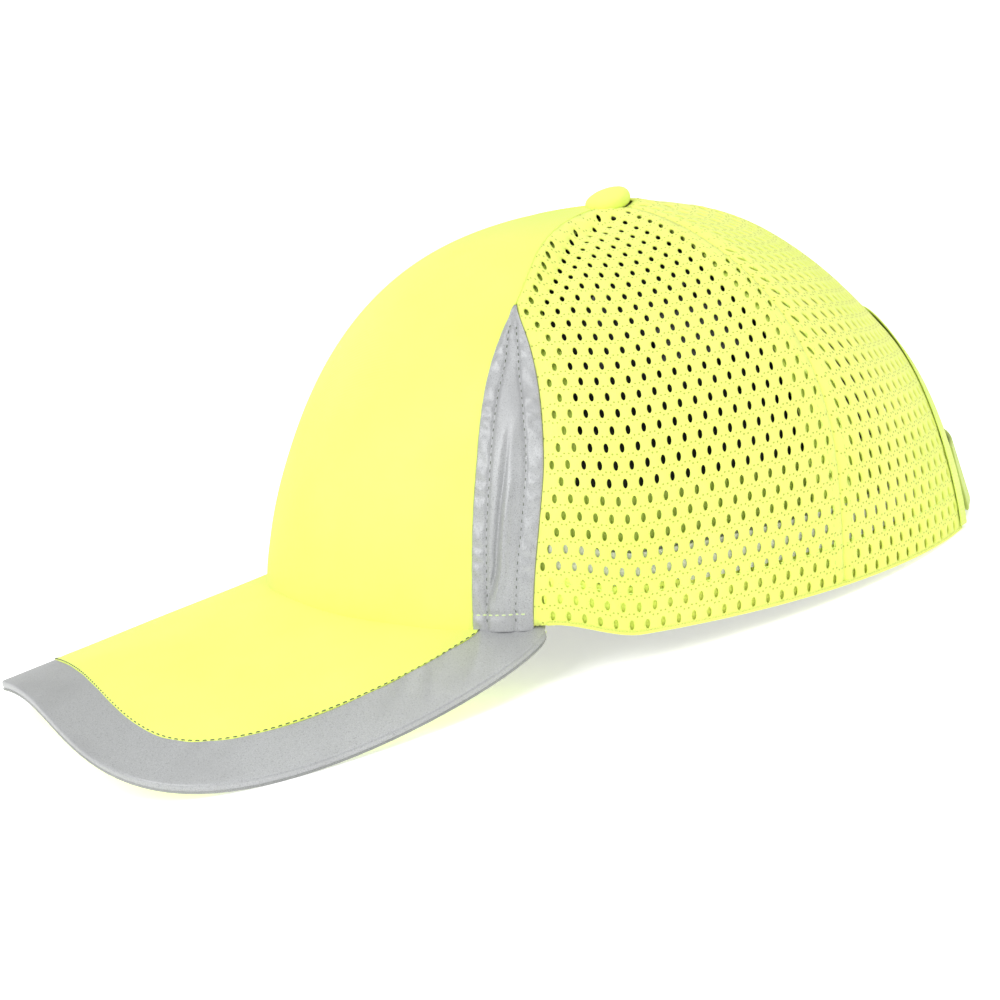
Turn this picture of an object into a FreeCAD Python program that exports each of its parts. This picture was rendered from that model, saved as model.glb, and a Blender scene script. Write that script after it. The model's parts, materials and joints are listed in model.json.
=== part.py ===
"""Bump cap: a mesh baseball cap with a hard shell liner, in millimetres.

Everything is laid out in the cap's own frame: the hem plane is z = 0, the brim
points to -Y and the wearer's left is +X. At the end every piece is tipped into
the pose in which the cap rests on a table, on its brim corners and rear hem.

A point of the crown is given by a bearing round the head (0 at the front, 90 at
the wearer's left, 180 at the back) and a climb (0 at the hem, 1 at the button).
Depth is measured inwards from the crown's outer face.
"""
import FreeCAD
import Part
import math
import os

V = FreeCAD.Vector

# ---- crown -----------------------------------------------------------------
HALF_LENGTH = 105.0          # outer half axes of the hem oval
HALF_WIDTH = 86.0
CROWN_HEIGHT = 105.0
LEAN = 11.0                  # the crown's top sits this far behind the oval's middle
FRONT_PROFILE = (1.43, 3.60)     # exponents of the front, side and rear profiles
SIDE_PROFILE = (3.30, 1.65)
REAR_PROFILE = (1.51, 1.84)
REAR_TUCK = -0.022           # bulge added to the rear profile, and to the side profile
SIDE_BELLY = 0.015
REAR_RISE = 3.5              # the hem rises this much towards the back
BUTTON_RING = 0.962          # climb at which the panels end, under the button

# ---- brim ------------------------------------------------------------------
BRIM_LENGTH = 75.8
BRIM_FRONT_RISE = 12.6       # height of the brim's middle where it meets the crown
BRIM_SLOPE = 0.172           # fall per millimetre forwards
BRIM_CAMBER = 0.0061         # curvature from side to side
BRIM_CORNER = 61.0           # bearing at which the brim leaves the crown
BRIM_FRONT_HANDLE = 75.5     # the outline's curve leaves the middle straight to the side,
BRIM_SHOULDER = 103.0        # is drawn towards a shoulder level with the front,
BRIM_SIDE_HANDLE = (90.0, -62.0)     # and comes in to the corner past this point
BRIM_TUCK = 1.9              # how far the brim reaches in under the crown's hem
HEM_OVER_BRIM = 0.3          # gap between the brim's top cover and the panels' hem
BAND_WIDTH = 15.8            # reflective band round the brim
BOARD = (0.0, -1.3)          # heights of each brim layer over the board's top face
UNDER_COVER = (-1.4, -1.95)
TOP_COVER = (0.65, 0.1)
BINDING_LEG = 2.6
BINDING_THICKNESS = 0.4
BINDING_SLACK = 0.1          # air inside the folded binding
TAG_PLACE = 0.735            # where the folded tag sits along the brim's outline
TAG_WIDTH = 0.035
TAG_DROP = 3.0

# ---- seams and fabric ------------------------------------------------------
FRONT_SEAM = 49.4            # bearing of the front panel's side seams
FRONT_SEAM_LEAN = 1.4        # they lean this much towards the front half way up
FRONT_SEAM_TURN = 16.5       # and turn this much further at the button
REAR_SEAM = 110.0            # bearing of the seams between side and rear panels
INSERT_SPREAD = 12.0         # widest bearing span of the reflective insert
INSERT_TIP = 0.602           # climb at which the insert ends in a point
SEAM_GAP = 0.35              # millimetres between the edges of two panels
PANEL = (0.0, 1.2)           # depths of each layer
INSERT = (0.1, 1.1)
TAPE = (1.35, 2.0)
HEM = (1.35, 2.05)
SWEATBAND = (2.25, 4.7)
SHELL = (5.2, 7.2)
FOAM = (7.35, 13.0)
CROWN_LOOP = (2.25, 3.1)
SHELL_HOOK = (4.0, 5.05)
TAPE_HALF_WIDTH = 9.0
TAPE_FOOT = 0.09             # climbs at which the seam tapes begin and end
TAPE_TOP = 0.93
HEM_HEIGHT = 13.0
SWEATBAND_HEIGHT = 31.5
BAND_END = 137.5             # bearing at which hem and sweatband stop
BUTTON_RADIUS = 6.6
BUTTON_HEIGHT = 4.4
WASHER = (6.2, 0.8)          # radius and thickness under the button
SHANK_RADIUS = 1.6

# ---- rear opening and strap ------------------------------------------------
ARCH_HALF_WIDTH = 50.0
ARCH_HEIGHT = 58.0
ARCH_POWER = 2.4
ARCH_LEG = 4.2               # legs of the opening's folded binding
ARCH_SETBACK = 1.7           # the binding's fold lies this far inside the cut edge
STRAP_LOW = 3.8
STRAP_HIGH = 22.8
STRAP_ROOT = 141.0           # bearing where each strap half is sewn in
STRAP_INSET = 2.6            # the strap runs flatter than the oval by this much
STRAP = (2.3, 3.4)
LOOP_TAPE = (1.35, 2.15)
FLAP = (-0.95, 0.1)
HOOK_TAPE = (0.25, 1.0)
PEEL_AXIS = 192.0            # bearing of the line about which the flap peels
PEEL_GAP = 0.45              # half the gap between flap and strap on that line
FLAP_END = 152.0
STRAP_END = 188.0

# ---- impact shell ----------------------------------------------------------
SHELL_CLEAR = 36.0           # the shell's edge runs this far above the hem
SHELL_REAR_EDGE = 66.0       # and clears the rear opening's arch
SHELL_TOP = 0.95             # climb of the round vent at the top
SLOT_WIDTH = 5.0
CROWN_PAD_RADIUS = 34.0
PATCH_HALF_SIZE = (12.0, 9.0)
PATCHES = ((0.0, 0.56), (90.0, 0.50), (180.0, 0.60), (270.0, 0.50))  # bearing, climb


# ---- surfaces --------------------------------------------------------------
def smooth(x, low, high):
    """Rises smoothly from 0 at low to 1 at high."""
    t = min(max((x - low) / (high - low), 0.0), 1.0)
    return t * t * (3.0 - 2.0 * t)


def wrapped(bearing):
    """The bearing's distance from the front, 0 to 180 degrees."""
    return abs((bearing + 180.0) % 360.0 - 180.0)


def oval(bearing):
    a = math.radians(bearing)
    return HALF_WIDTH * math.sin(a), -HALF_LENGTH * math.cos(a)


def brim_height(x, y):
    ahead = -(y + HALF_LENGTH)
    return BRIM_FRONT_RISE - BRIM_SLOPE * ahead - BRIM_CAMBER * x * x / 2.0


def hem_height(bearing):
    """The hem follows the brim's top at the front and is nearly level elsewhere."""
    away = wrapped(bearing)
    x, y = oval(away)
    inside = 1.0 - (PANEL[1] + 0.2) / math.hypot(x, y)
    over = brim_height(x * inside, y * inside) + TOP_COVER[0] + HEM_OVER_BRIM
    on_brim = 1.0 - smooth(away, BRIM_CORNER + 1.0, BRIM_CORNER + 15.0)
    rise = max(away - 75.0, 0.0) / 105.0
    return on_brim * over + REAR_RISE * rise * rise


def profile(exponents, rise):
    return max(1.0 - rise ** exponents[0], 0.0) ** (1.0 / exponents[1])


def crown_radius(bearing, rise):
    """Share of the oval's size at a rise, from 0 at the hem to 1 at the top."""
    c = math.cos(math.radians(bearing))
    front = c * c if c > 0 else 0.0
    rear = c * c if c < 0 else 0.0
    side = 1.0 - front - rear
    plain = (front * profile(FRONT_PROFILE, rise) + side * profile(SIDE_PROFILE, rise)
             + rear * profile(REAR_PROFILE, rise))
    return plain + (REAR_TUCK * rear + SIDE_BELLY * side) * math.sin(math.pi * rise) ** 2


def rise_of(bearing, climb):
    """Rise where a ray at climb times 90 degrees meets the profile of radius and rise."""
    angle = climb * math.pi / 2
    c = math.cos(angle)
    s = math.sin(angle)
    low = 0.0
    high = 1.0
    for _ in range(26):
        middle = (low + high) / 2
        if middle * c < crown_radius(bearing, middle) * s:
            low = middle
        else:
            high = middle
    return (low + high) / 2


def crown_face(bearing, climb):
    x, y = oval(bearing)
    rise = rise_of(bearing, max(climb, 0.0))
    r = crown_radius(bearing, rise)
    low = hem_height(bearing)
    return V(x * r, y * r + LEAN * rise, low + (CROWN_HEIGHT - low) * rise)


def crown_point(bearing, climb, depth=0.0):
    """A point at a depth inside the crown's outer face, along its normal."""
    p = crown_face(bearing, climb)
    up = crown_face(bearing, climb + 0.004) - crown_face(bearing, climb - 0.004)
    round_head = crown_face(bearing + 0.4, climb) - crown_face(bearing - 0.4, climb)
    normal = round_head.cross(up)
    normal.normalize()
    return p - normal * depth


def climb_at(bearing, height):
    """The climb at which the crown's face is at a given height."""
    low = hem_height(bearing)
    rise = (height - low) / (CROWN_HEIGHT - low)
    return math.atan2(rise, crown_radius(bearing, rise)) * 2 / math.pi


def front_seam(climb):
    lean = FRONT_SEAM_LEAN * smooth(climb, 0.25, 0.5)
    return FRONT_SEAM - lean - FRONT_SEAM_TURN * smooth(climb, 0.59, 1.0)


def side_edge(climb):
    """Bearing of the side panel's front edge: the insert's rear edge, then the seam."""
    t = min(climb / INSERT_TIP, 1.0)
    widest = INSERT_SPREAD * (0.83 + 0.17 * smooth(climb, 0.0, 0.3))
    return front_seam(climb) + widest * (1.0 - t ** 7) ** 1.6


def gap_angle(bearing, climb, gap):
    """The bearing change that makes a gap of that many millimetres."""
    span = crown_face(bearing + 0.5, climb) - crown_face(bearing - 0.5, climb)
    return gap / span.Length


def climb_step(bearing, climb, gap):
    """The climb change that makes a gap of that many millimetres."""
    span = crown_face(bearing, climb + 0.01) - crown_face(bearing, climb - 0.01)
    return gap / span.Length * 0.02


# ---- solids from surfaces --------------------------------------------------
def spline_face(rows):
    surface = Part.BSplineSurface()
    surface.interpolate(rows)
    return surface.toShape()


def spline_edge(points):
    curve = Part.BSplineCurve()
    curve.interpolate(points)
    return curve.toShape()


def sheet(place, depths, steps_s, steps_t):
    """A closed solid between two depths of place(s, t, depth), s and t from 0 to 1."""
    def grid(depth):
        return [[place(i / steps_s, j / steps_t, depth) for j in range(steps_t + 1)]
                for i in range(steps_s + 1)]

    outer = spline_face(grid(depths[0]))
    inner = spline_face(grid(depths[1]))
    sides = [Part.makeRuledSurface(far, near) for far, near in zip(outer.Edges, inner.Edges)]
    return closed_solid([outer, inner] + sides)


def closed_solid(faces):
    sewn = Part.makeCompound(faces)
    sewn.sewShape(0.005)
    solid = Part.makeSolid(sewn.Shells[0])
    solid.fix(0.001, 0.001, 0.001)
    if solid.Volume < 0:
        solid.reverse()
    return solid


def crown_sheet(left_edge, right_edge, low, high, depths, steps=(24, 20)):
    """A crown layer between two bearings and two climbs, each a function."""
    def place(s, t, depth):
        guess = left_edge(0.5) + (right_edge(0.5) - left_edge(0.5)) * s
        climb = low(guess) + (high(guess) - low(guess)) * t
        bearing = left_edge(climb) + (right_edge(climb) - left_edge(climb)) * s
        return crown_point(bearing, climb, depth)

    return sheet(place, depths, steps[0], steps[1])


def level(value):
    return lambda _: value


def cut_arch(shape, clearance=0.0):
    """Cuts the rear opening's arch out of a piece, wider by a clearance."""
    return shape.cut(arch_prism(clearance))


def arch_point(angle, clearance=0.0):
    """x and z of the arch, angle 0 at the right corner and pi at the left one."""
    c = math.cos(angle)
    x = -math.copysign((ARCH_HALF_WIDTH + clearance) * abs(c) ** (2.0 / ARCH_POWER), c)
    z = (ARCH_HEIGHT + clearance) * math.sin(angle) ** (2.0 / ARCH_POWER)
    return x, z


def arch_prism(clearance=0.0):
    outline = [arch_point(math.pi * k / 32, clearance) for k in range(33)]
    rim = [V(x, 30.0, z) for x, z in outline]
    drop = V(0, 0, -20)
    sides = [Part.makeLine(rim[-1] + drop, rim[-1]), Part.makeLine(rim[0] + drop, rim[-1] + drop),
             Part.makeLine(rim[0], rim[0] + drop)]
    face = Part.Face(Part.Wire([spline_edge(rim)] + sides))
    return face.extrude(V(0, 110, 0))


# ---- crown panels ----------------------------------------------------------
def along(edge, sign, gap):
    """An edge function of climb on one side of the head, moved round by a gap."""
    def moved(climb):
        bearing = edge(climb)
        return sign * (bearing + gap_angle(bearing, climb, gap))

    return moved


def front_panel():
    right = along(front_seam, -1, -SEAM_GAP / 2)
    left = along(front_seam, 1, -SEAM_GAP / 2)
    return crown_sheet(right, left, level(0.0), level(BUTTON_RING), PANEL, (30, 28))


def side_panel(sign):
    front = along(side_edge, sign, SEAM_GAP / 2)
    rear = along(level(REAR_SEAM), sign, -SEAM_GAP / 2)
    return crown_sheet(front, rear, level(0.0), level(BUTTON_RING), PANEL, (24, 40))


def rear_panel(sign):
    front = along(level(REAR_SEAM), sign, SEAM_GAP / 2)
    rear = along(level(180.0), sign, -SEAM_GAP / 2)
    return cut_arch(crown_sheet(front, rear, level(0.0), level(BUTTON_RING), PANEL, (24, 28)))


def reflective_insert(sign):
    front = along(front_seam, sign, SEAM_GAP / 2)
    rear = along(side_edge, sign, -SEAM_GAP / 2)
    return crown_sheet(front, rear, level(0.0), level(INSERT_TIP - 0.02), INSERT, (8, 36))


def tape_half_width(climb):
    """Tapes narrow towards the button."""
    return TAPE_HALF_WIDTH * (1.0 - 0.66 * smooth(climb, 0.35, TAPE_TOP))


def front_seam_tape(sign):
    """Backs the insert and both of its seams, up to the button."""
    def front(climb):
        return along(front_seam, sign, -tape_half_width(climb))(climb)

    def rear(climb):
        return along(side_edge, sign, tape_half_width(climb))(climb)

    return crown_sheet(front, rear, level(TAPE_FOOT), level(TAPE_TOP), TAPE, (12, 36))


def seam_tape(bearing, low):
    def edge(side):
        return lambda climb: bearing + side * gap_angle(bearing, climb, tape_half_width(climb))

    return crown_sheet(edge(-1), edge(1), level(low), level(TAPE_TOP), TAPE, (8, 28))


def up_to_height(height):
    """A climb function for an edge that runs at a height over the hem."""
    return lambda bearing: climb_at(bearing, hem_height(bearing) + height)


def hem(sign):
    """The turned-up hem of the mesh, from the brim's corner to the rear opening."""
    return crown_sheet(level(sign * 63.0), level(sign * BAND_END), level(0.0012),
                       up_to_height(HEM_HEIGHT), HEM, (24, 3))


def sweatband():
    return crown_sheet(level(-BAND_END), level(BAND_END), level(0.004),
                       up_to_height(SWEATBAND_HEIGHT), SWEATBAND, (72, 6))


def size_label():
    """A blank fabric label on the inside of the sweatband, at the rear left."""
    depths = (SWEATBAND[1] + 0.15, SWEATBAND[1] + 0.75)
    return crown_sheet(level(112.0), level(128.0), level(0.05), level(0.155), depths, (6, 4))


def button_cap():
    """A flattened dome on the crown's top."""
    rim = V(BUTTON_RADIUS, 0, BUTTON_HEIGHT * 0.24)
    top = V(0, 0, BUTTON_HEIGHT)
    dome = spline_edge([rim, V(BUTTON_RADIUS * 0.9, 0, BUTTON_HEIGHT * 0.59),
                        V(BUTTON_RADIUS * 0.6, 0, BUTTON_HEIGHT * 0.87), top])
    foot = V(BUTTON_RADIUS, 0, 0)
    edges = [Part.makeLine(V(0, 0, 0), foot), Part.makeLine(foot, rim), dome,
             Part.makeLine(top, V(0, 0, 0))]
    solid = Part.Face(Part.Wire(edges)).revolve(V(0, 0, 0), V(0, 0, 1), 360)
    solid.translate(V(0, LEAN, CROWN_HEIGHT + 0.25))
    return solid


def button_rivet():
    """Prong through the panel tips with a washer under them."""
    shank = Part.makeCylinder(SHANK_RADIUS, 3.2, V(0, LEAN, CROWN_HEIGHT - 3.0))
    washer = Part.makeCylinder(WASHER[0], WASHER[1], V(0, LEAN, CROWN_HEIGHT - 3.6))
    return shank.fuse(washer).removeSplitter()


def opening_binding():
    """A tape folded over the rear opening's edge."""
    half = PANEL[1] / 2
    outer_radius = half + 0.28 + BINDING_THICKNESS
    start = 0.024

    def place(s, t, depth):
        angle = start + (math.pi - 2 * start) * s
        x, z = arch_point(angle, -ARCH_SETBACK)
        here, normal = rear_frame(x, z)
        ahead, _ = rear_frame(*arch_point(angle + 0.004, -ARCH_SETBACK))
        into_panel = normal.cross(ahead - here)
        into_panel.normalize()
        if into_panel.dot(V(x, 0, z - 15.0)) < 0:
            into_panel = into_panel * -1.0
        reach, lift = fold(t, outer_radius - depth, ARCH_LEG)
        return here + into_panel * reach + normal * (lift - half)

    return sheet(place, (0.0, BINDING_THICKNESS), 48, 12)


def fold(t, radius, leg):
    """A U section: along one leg, round the edge and back, as (reach, lift)."""
    if t < 0.35:
        return leg * (1 - t / 0.35), radius
    if t > 0.65:
        return leg * (t - 0.65) / 0.35, -radius
    a = math.pi * (t - 0.35) / 0.3
    return -radius * math.sin(a), radius * math.cos(a)


def rear_frame(x, z):
    """The crown's rear face over a given x and z, and its outward normal."""
    bearing = 180.0 - math.degrees(math.asin(x / HALF_WIDTH))
    for _ in range(12):
        got = crown_face(bearing, climb_at(bearing, z)).x
        ahead = crown_face(bearing + 0.1, climb_at(bearing + 0.1, z)).x
        bearing -= (got - x) * 0.1 / (ahead - got)
    climb = climb_at(bearing, z)
    here = crown_face(bearing, climb)
    return here, here - crown_point(bearing, climb, 1.0)


# ---- brim ------------------------------------------------------------------
def brim_outline(u):
    """The brim's outer edge in plan, u from -1 (wearer's right) to 1 (left)."""
    a = abs(u)
    front = -HALF_LENGTH - BRIM_LENGTH
    points = ((0.0, front), (BRIM_FRONT_HANDLE, front), (BRIM_SHOULDER, front), BRIM_SIDE_HANDLE,
              oval(BRIM_CORNER))
    weights = [math.comb(4, k) * (1 - a) ** (4 - k) * a ** k for k in range(5)]
    x = sum(w * p[0] for w, p in zip(weights, points))
    y = sum(w * p[1] for w, p in zip(weights, points))
    return math.copysign(x, u), y


def brim_root(u):
    """The brim's hidden inner edge, tucked in under the crown's hem."""
    x, y = oval(BRIM_CORNER * u)
    shrink = 1.0 - BRIM_TUCK / math.hypot(x, y)
    return x * shrink, y * shrink


def brim_point(x, y, height):
    step = 0.2
    dx = (brim_height(x + step, y) - brim_height(x - step, y)) / (2 * step)
    dy = (brim_height(x, y + step) - brim_height(x, y - step)) / (2 * step)
    normal = V(-dx, -dy, 1.0)
    normal.normalize()
    return V(x, y, brim_height(x, y)) + normal * height


def brim_sheet(heights, steps=(40, 10)):
    def place(s, t, height):
        u = 2.0 * s - 1.0
        ox, oy = brim_outline(u)
        ix, iy = brim_root(u)
        return brim_point(ix + (ox - ix) * t, iy + (oy - iy) * t, height)

    return sheet(place, heights, steps[0], steps[1])


def inward(u, distance):
    """A plan point at a distance inside the brim's outer edge."""
    e = 0.002
    ax, ay = brim_outline(u - e if u > -1 + e else u)
    bx, by = brim_outline(u + e if u < 1 - e else u)
    length = math.hypot(bx - ax, by - ay)
    x, y = brim_outline(u)
    return x - (by - ay) / length * distance, y + (bx - ax) / length * distance


def cover_prism(distance):
    """A tall prism over the brim area further in than a distance from its edge."""
    points = [inward(k / 24.0, distance) for k in range(-20, 21)]
    rim = [V(x, y, -60.0) for x, y in points if y < -30.0]
    curve = spline_edge(rim)
    back = [V(rim[-1].x, 0, -60), V(rim[0].x, 0, -60)]
    lines = [Part.makeLine(rim[-1], back[0]), Part.makeLine(back[0], back[1]),
             Part.makeLine(back[1], rim[0])]
    return Part.Face(Part.Wire([curve] + lines)).extrude(V(0, 0, 120))


def brim_binding():
    """A tape folded round the brim's whole edge."""
    middle = (TOP_COVER[0] + UNDER_COVER[1]) / 2
    half = (TOP_COVER[0] - UNDER_COVER[1]) / 2
    outer_radius = half + BINDING_SLACK + BINDING_THICKNESS

    def place(s, t, depth):
        u = -0.985 + 1.97 * s
        reach, lift = fold(t, outer_radius - depth, BINDING_LEG)
        reach = reach if reach > 0 else reach * 0.62
        x, y = inward(u, reach - BINDING_SLACK)
        return brim_point(x, y, middle + lift)

    return sheet(place, (0.0, BINDING_THICKNESS), 60, 12)


def brim_tag():
    """A small folded fabric tag sewn to the underside, just inside the binding."""
    low = UNDER_COVER[1] - 0.8

    def place(s, t, depth):
        x, y = inward(TAG_PLACE + TAG_WIDTH * (s - 0.5), 3.6 + 3.0 * depth)
        return brim_point(x, y, low - TAG_DROP * t)

    return sheet(place, (0.0, 0.35), 4, 4)


# ---- strap -----------------------------------------------------------------
def strap_point(bearing, height, depth):
    """A point on the strap: it leans with the crown and runs flatter than the oval."""
    inset = STRAP_INSET * smooth(wrapped(bearing), 140.0, 158.0)
    foot = crown_face(bearing, climb_at(bearing, STRAP_LOW))
    lean = crown_face(bearing, climb_at(bearing, STRAP_HIGH)) - foot
    share = (height - STRAP_LOW) / (STRAP_HIGH - STRAP_LOW)
    a = math.radians(bearing)
    normal = V(math.sin(a) / HALF_WIDTH, -math.cos(a) / HALF_LENGTH, 0)
    normal = normal - lean * (normal.dot(lean) / lean.dot(lean))
    normal.normalize()
    return foot + lean * share - normal * (inset + depth)


def strap_sheet(start, end, depths, margin=0.0, lift=None, steps=16):
    low = STRAP_LOW + margin
    high = STRAP_HIGH - margin

    def place(s, t, depth):
        bearing = start + (end - start) * s
        shift = lift(bearing) if lift else 0.0
        return strap_point(bearing, low + (high - low) * t, depth + shift)

    return sheet(place, depths, steps, 3)


def crossing(bearing):
    """The right strap half climbs from its seam to lie outside the left half."""
    return (FLAP[0] - STRAP[0]) * (1.0 - smooth(bearing, PEEL_AXIS + 4.0, PEEL_AXIS + 20.0))


def peel_gap_angle():
    span = strap_point(PEEL_AXIS + 0.5, 0.0, 0.0) - strap_point(PEEL_AXIS - 0.5, 0.0, 0.0)
    return PEEL_GAP / span.Length


# ---- shell and pads --------------------------------------------------------
def shell_low(bearing):
    """Climb of the shell's lower edge, lifted over the rear opening."""
    over_arch = smooth(wrapped(bearing), 118.0, 160.0)
    height = hem_height(bearing) + SHELL_CLEAR
    return climb_at(bearing, height + (SHELL_REAR_EDGE - height) * over_arch)


def shell_half(sign):
    return crown_sheet(level(0.0), level(sign * 180.0), shell_low, level(SHELL_TOP), SHELL, (48, 20))


def slot_cutter(bearing, climb, length, width):
    """A round-ended slot through the shell, its length running up the crown."""
    outside = crown_point(bearing, climb, SHELL[0] - 3.0)
    direction = crown_point(bearing, climb, SHELL[1] + 3.0) - outside
    direction.normalize()
    up = crown_point(bearing, climb + 0.01, 6.0) - crown_point(bearing, climb - 0.01, 6.0)
    up = up - direction * up.dot(direction)
    up.normalize()
    across = direction.cross(up) * (width / 2)
    reach = up * (length / 2 - width / 2)
    corners = [outside + reach + across, outside + reach - across,
               outside - reach - across, outside - reach + across]
    top = Part.Arc(corners[0], outside + up * (length / 2), corners[1]).toShape()
    bottom = Part.Arc(corners[2], outside - up * (length / 2), corners[3]).toShape()
    wire = Part.Wire([top, Part.makeLine(corners[1], corners[2]), bottom,
                      Part.makeLine(corners[3], corners[0])])
    return Part.Face(wire).extrude(direction * (SHELL[1] - SHELL[0] + 6.0))


def impact_shell():
    shell = shell_half(1).fuse(shell_half(-1)).removeSplitter()
    slots = []
    for bearing in range(20, 170, 25):
        rows = ((0.42, 17.0), (0.60, 13.0)) if bearing < 150 else ((0.60, 13.0),)
        for climb, length in rows:
            for side in (-1, 1):
                slots.append(slot_cutter(side * bearing, climb, length, SLOT_WIDTH))
    return shell.cut(slots)


def foam_block(left, right, low, high):
    def low_edge(bearing):
        return max(low, shell_low(bearing) + 0.015)

    return crown_sheet(level(left), level(right), low_edge, level(high), FOAM, (12, 10))


def crown_foam():
    """A round pad under the shell's crown."""
    disc = Part.makeCylinder(CROWN_PAD_RADIUS, 60.0, V(0, LEAN * 0.9, 60.0))
    halves = []
    for side in (1, -1):
        halves.append(crown_sheet(level(0.0), level(side * 180.0), level(0.55), level(SHELL_TOP),
                                  FOAM, (36, 10)))
    return halves[0].fuse(halves[1]).removeSplitter().common(disc)


def patches(depths, shrink=0.0):
    """Four small fastener patches: front, rear and both sides."""
    solids = []
    for bearing, climb in PATCHES:
        across = gap_angle(bearing, climb, PATCH_HALF_SIZE[0] - shrink)
        up = climb_step(bearing, climb, PATCH_HALF_SIZE[1] - shrink)
        solids.append(crown_sheet(level(bearing - across), level(bearing + across),
                                  level(climb - up), level(climb + up), depths, (4, 4)))
    return Part.makeCompound(solids)


# ---- resting pose ----------------------------------------------------------
def rest_pitch():
    """Degrees the brim end tips up so brim edge and rear hem touch the table."""
    binding_low = UNDER_COVER[1] - BINDING_SLACK - BINDING_THICKNESS
    brim = [brim_point(*brim_outline(k / 200.0), binding_low) for k in range(200)]
    rear = crown_point(144.0, 0.0)
    return max(math.degrees(math.atan2(rear.z - p.z, rear.y - p.y)) for p in brim)


def settle(shape, pitch):
    shape = shape.copy()
    shape.rotate(V(0, 0, 0), V(1, 0, 0), -pitch)
    return shape


def build():
    layer = brim_sheet(TOP_COVER)
    peel = peel_gap_angle()
    parts = {
        "front_panel": front_panel(),
        "button_cap": button_cap(),
        "button_rivet": button_rivet(),
        "rear_seam_tape": seam_tape(180.0, climb_at(180.0, ARCH_HEIGHT + 6.0)),
        "sweatband": sweatband(),
        "size_label": size_label(),
        "opening_binding": opening_binding(),
        "brim_board": brim_sheet(BOARD),
        "brim_top_cover": layer.common(cover_prism(BAND_WIDTH + SEAM_GAP / 2)),
        "brim_reflective_band": layer.cut(cover_prism(BAND_WIDTH - SEAM_GAP / 2)),
        "brim_under_cover": brim_sheet(UNDER_COVER),
        "brim_edge_binding": brim_binding(),
        "brim_tag": brim_tag(),
        "strap_left": strap_sheet(STRAP_ROOT, STRAP_END, STRAP),
        "strap_loop_tape": strap_sheet(FLAP_END - 4.0, STRAP_END, LOOP_TAPE, 0.8),
        "strap_right": strap_sheet(PEEL_AXIS + peel, 360.0 - STRAP_ROOT, STRAP, 0.0, crossing),
        "strap_flap": strap_sheet(FLAP_END, PEEL_AXIS - peel, FLAP),
        "strap_hook_tape": strap_sheet(FLAP_END + 1.0, PEEL_AXIS - 6.0, HOOK_TAPE, 0.8),
        "impact_shell": impact_shell(),
        "front_foam_pad": foam_block(-40.0, 40.0, 0.32, 0.52),
        "rear_foam_pad": foam_block(146.0, 214.0, 0.45, 0.60),
        "left_foam_pad": foam_block(62.0, 128.0, 0.25, 0.46),
        "right_foam_pad": foam_block(-128.0, -62.0, 0.25, 0.46),
        "crown_foam_pad": crown_foam(),
        "shell_hook_patches": patches(SHELL_HOOK, 1.0),
        "crown_loop_patches": patches(CROWN_LOOP),
    }
    for side, sign in (("left", 1), ("right", -1)):
        parts["side_panel_" + side] = side_panel(sign)
        parts["rear_panel_" + side] = rear_panel(sign)
        parts["reflective_insert_" + side] = reflective_insert(sign)
        parts["front_seam_tape_" + side] = front_seam_tape(sign)
        parts["side_seam_tape_" + side] = seam_tape(sign * REAR_SEAM, TAPE_FOOT)
        parts["hem_" + side] = hem(sign)
    return parts


def main():
    os.makedirs("parts", exist_ok=True)
    pitch = rest_pitch()
    parts = build()
    placed = {name: settle(shape, pitch) for name, shape in parts.items()}
    box = FreeCAD.BoundBox()
    for shape in placed.values():
        box.add(shape.optimalBoundingBox(True, False))
    middle = V(-(box.XMin + box.XMax) / 2, -(box.YMin + box.YMax) / 2, -box.ZMin)
    print("pitch %.3f shift %.3f %.3f %.3f" % (pitch, middle.x, middle.y, middle.z))
    print("size %.1f %.1f %.1f" % (box.XLength, box.YLength, box.ZLength))
    for name, shape in placed.items():
        shape.translate(middle)
        shape.exportStep("parts/%s.step" % name)
        state = (name, len(shape.Solids), shape.isValid(), shape.Volume)
        print("%-24s solids %d valid %s volume %.0f" % state)


main()
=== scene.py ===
"""Looks of a mesh bump cap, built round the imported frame. Lengths below are millimetres
in the cap's own frame (hem plane z = 0, brim to -Y, wearer's left +X) until row() turns
them into the metres of the frame."""
import json
import math
import bpy
import numpy as np
from mathutils import Matrix, Vector
from mathutils.geometry import delaunay_2d_cdt


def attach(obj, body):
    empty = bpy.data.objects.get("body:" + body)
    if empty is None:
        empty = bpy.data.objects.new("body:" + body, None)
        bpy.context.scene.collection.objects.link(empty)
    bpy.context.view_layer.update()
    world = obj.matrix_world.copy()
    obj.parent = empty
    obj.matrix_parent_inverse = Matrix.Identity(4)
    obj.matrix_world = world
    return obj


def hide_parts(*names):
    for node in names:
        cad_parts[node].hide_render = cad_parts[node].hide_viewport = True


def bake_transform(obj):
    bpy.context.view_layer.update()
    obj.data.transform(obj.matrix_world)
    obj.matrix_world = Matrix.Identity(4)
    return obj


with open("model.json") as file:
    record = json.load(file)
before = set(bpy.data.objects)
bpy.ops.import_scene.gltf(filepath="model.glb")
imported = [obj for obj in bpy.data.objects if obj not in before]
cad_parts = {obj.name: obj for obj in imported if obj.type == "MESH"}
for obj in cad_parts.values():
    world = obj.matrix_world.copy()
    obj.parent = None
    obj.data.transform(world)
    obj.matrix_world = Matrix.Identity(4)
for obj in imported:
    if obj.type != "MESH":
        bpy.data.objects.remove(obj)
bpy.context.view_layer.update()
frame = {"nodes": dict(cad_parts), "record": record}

# ---- the cap's shape, as the frame has it ----
HALF_LENGTH, HALF_WIDTH, CROWN_HEIGHT, LEAN = 105.0, 86.0, 105.0, 11.0
FRONT_PROFILE, SIDE_PROFILE, REAR_PROFILE = (1.43, 3.60), (3.30, 1.65), (1.51, 1.84)
REAR_TUCK, SIDE_BELLY, REAR_RISE, BUTTON_RING = -0.022, 0.015, 3.5, 0.962
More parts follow.
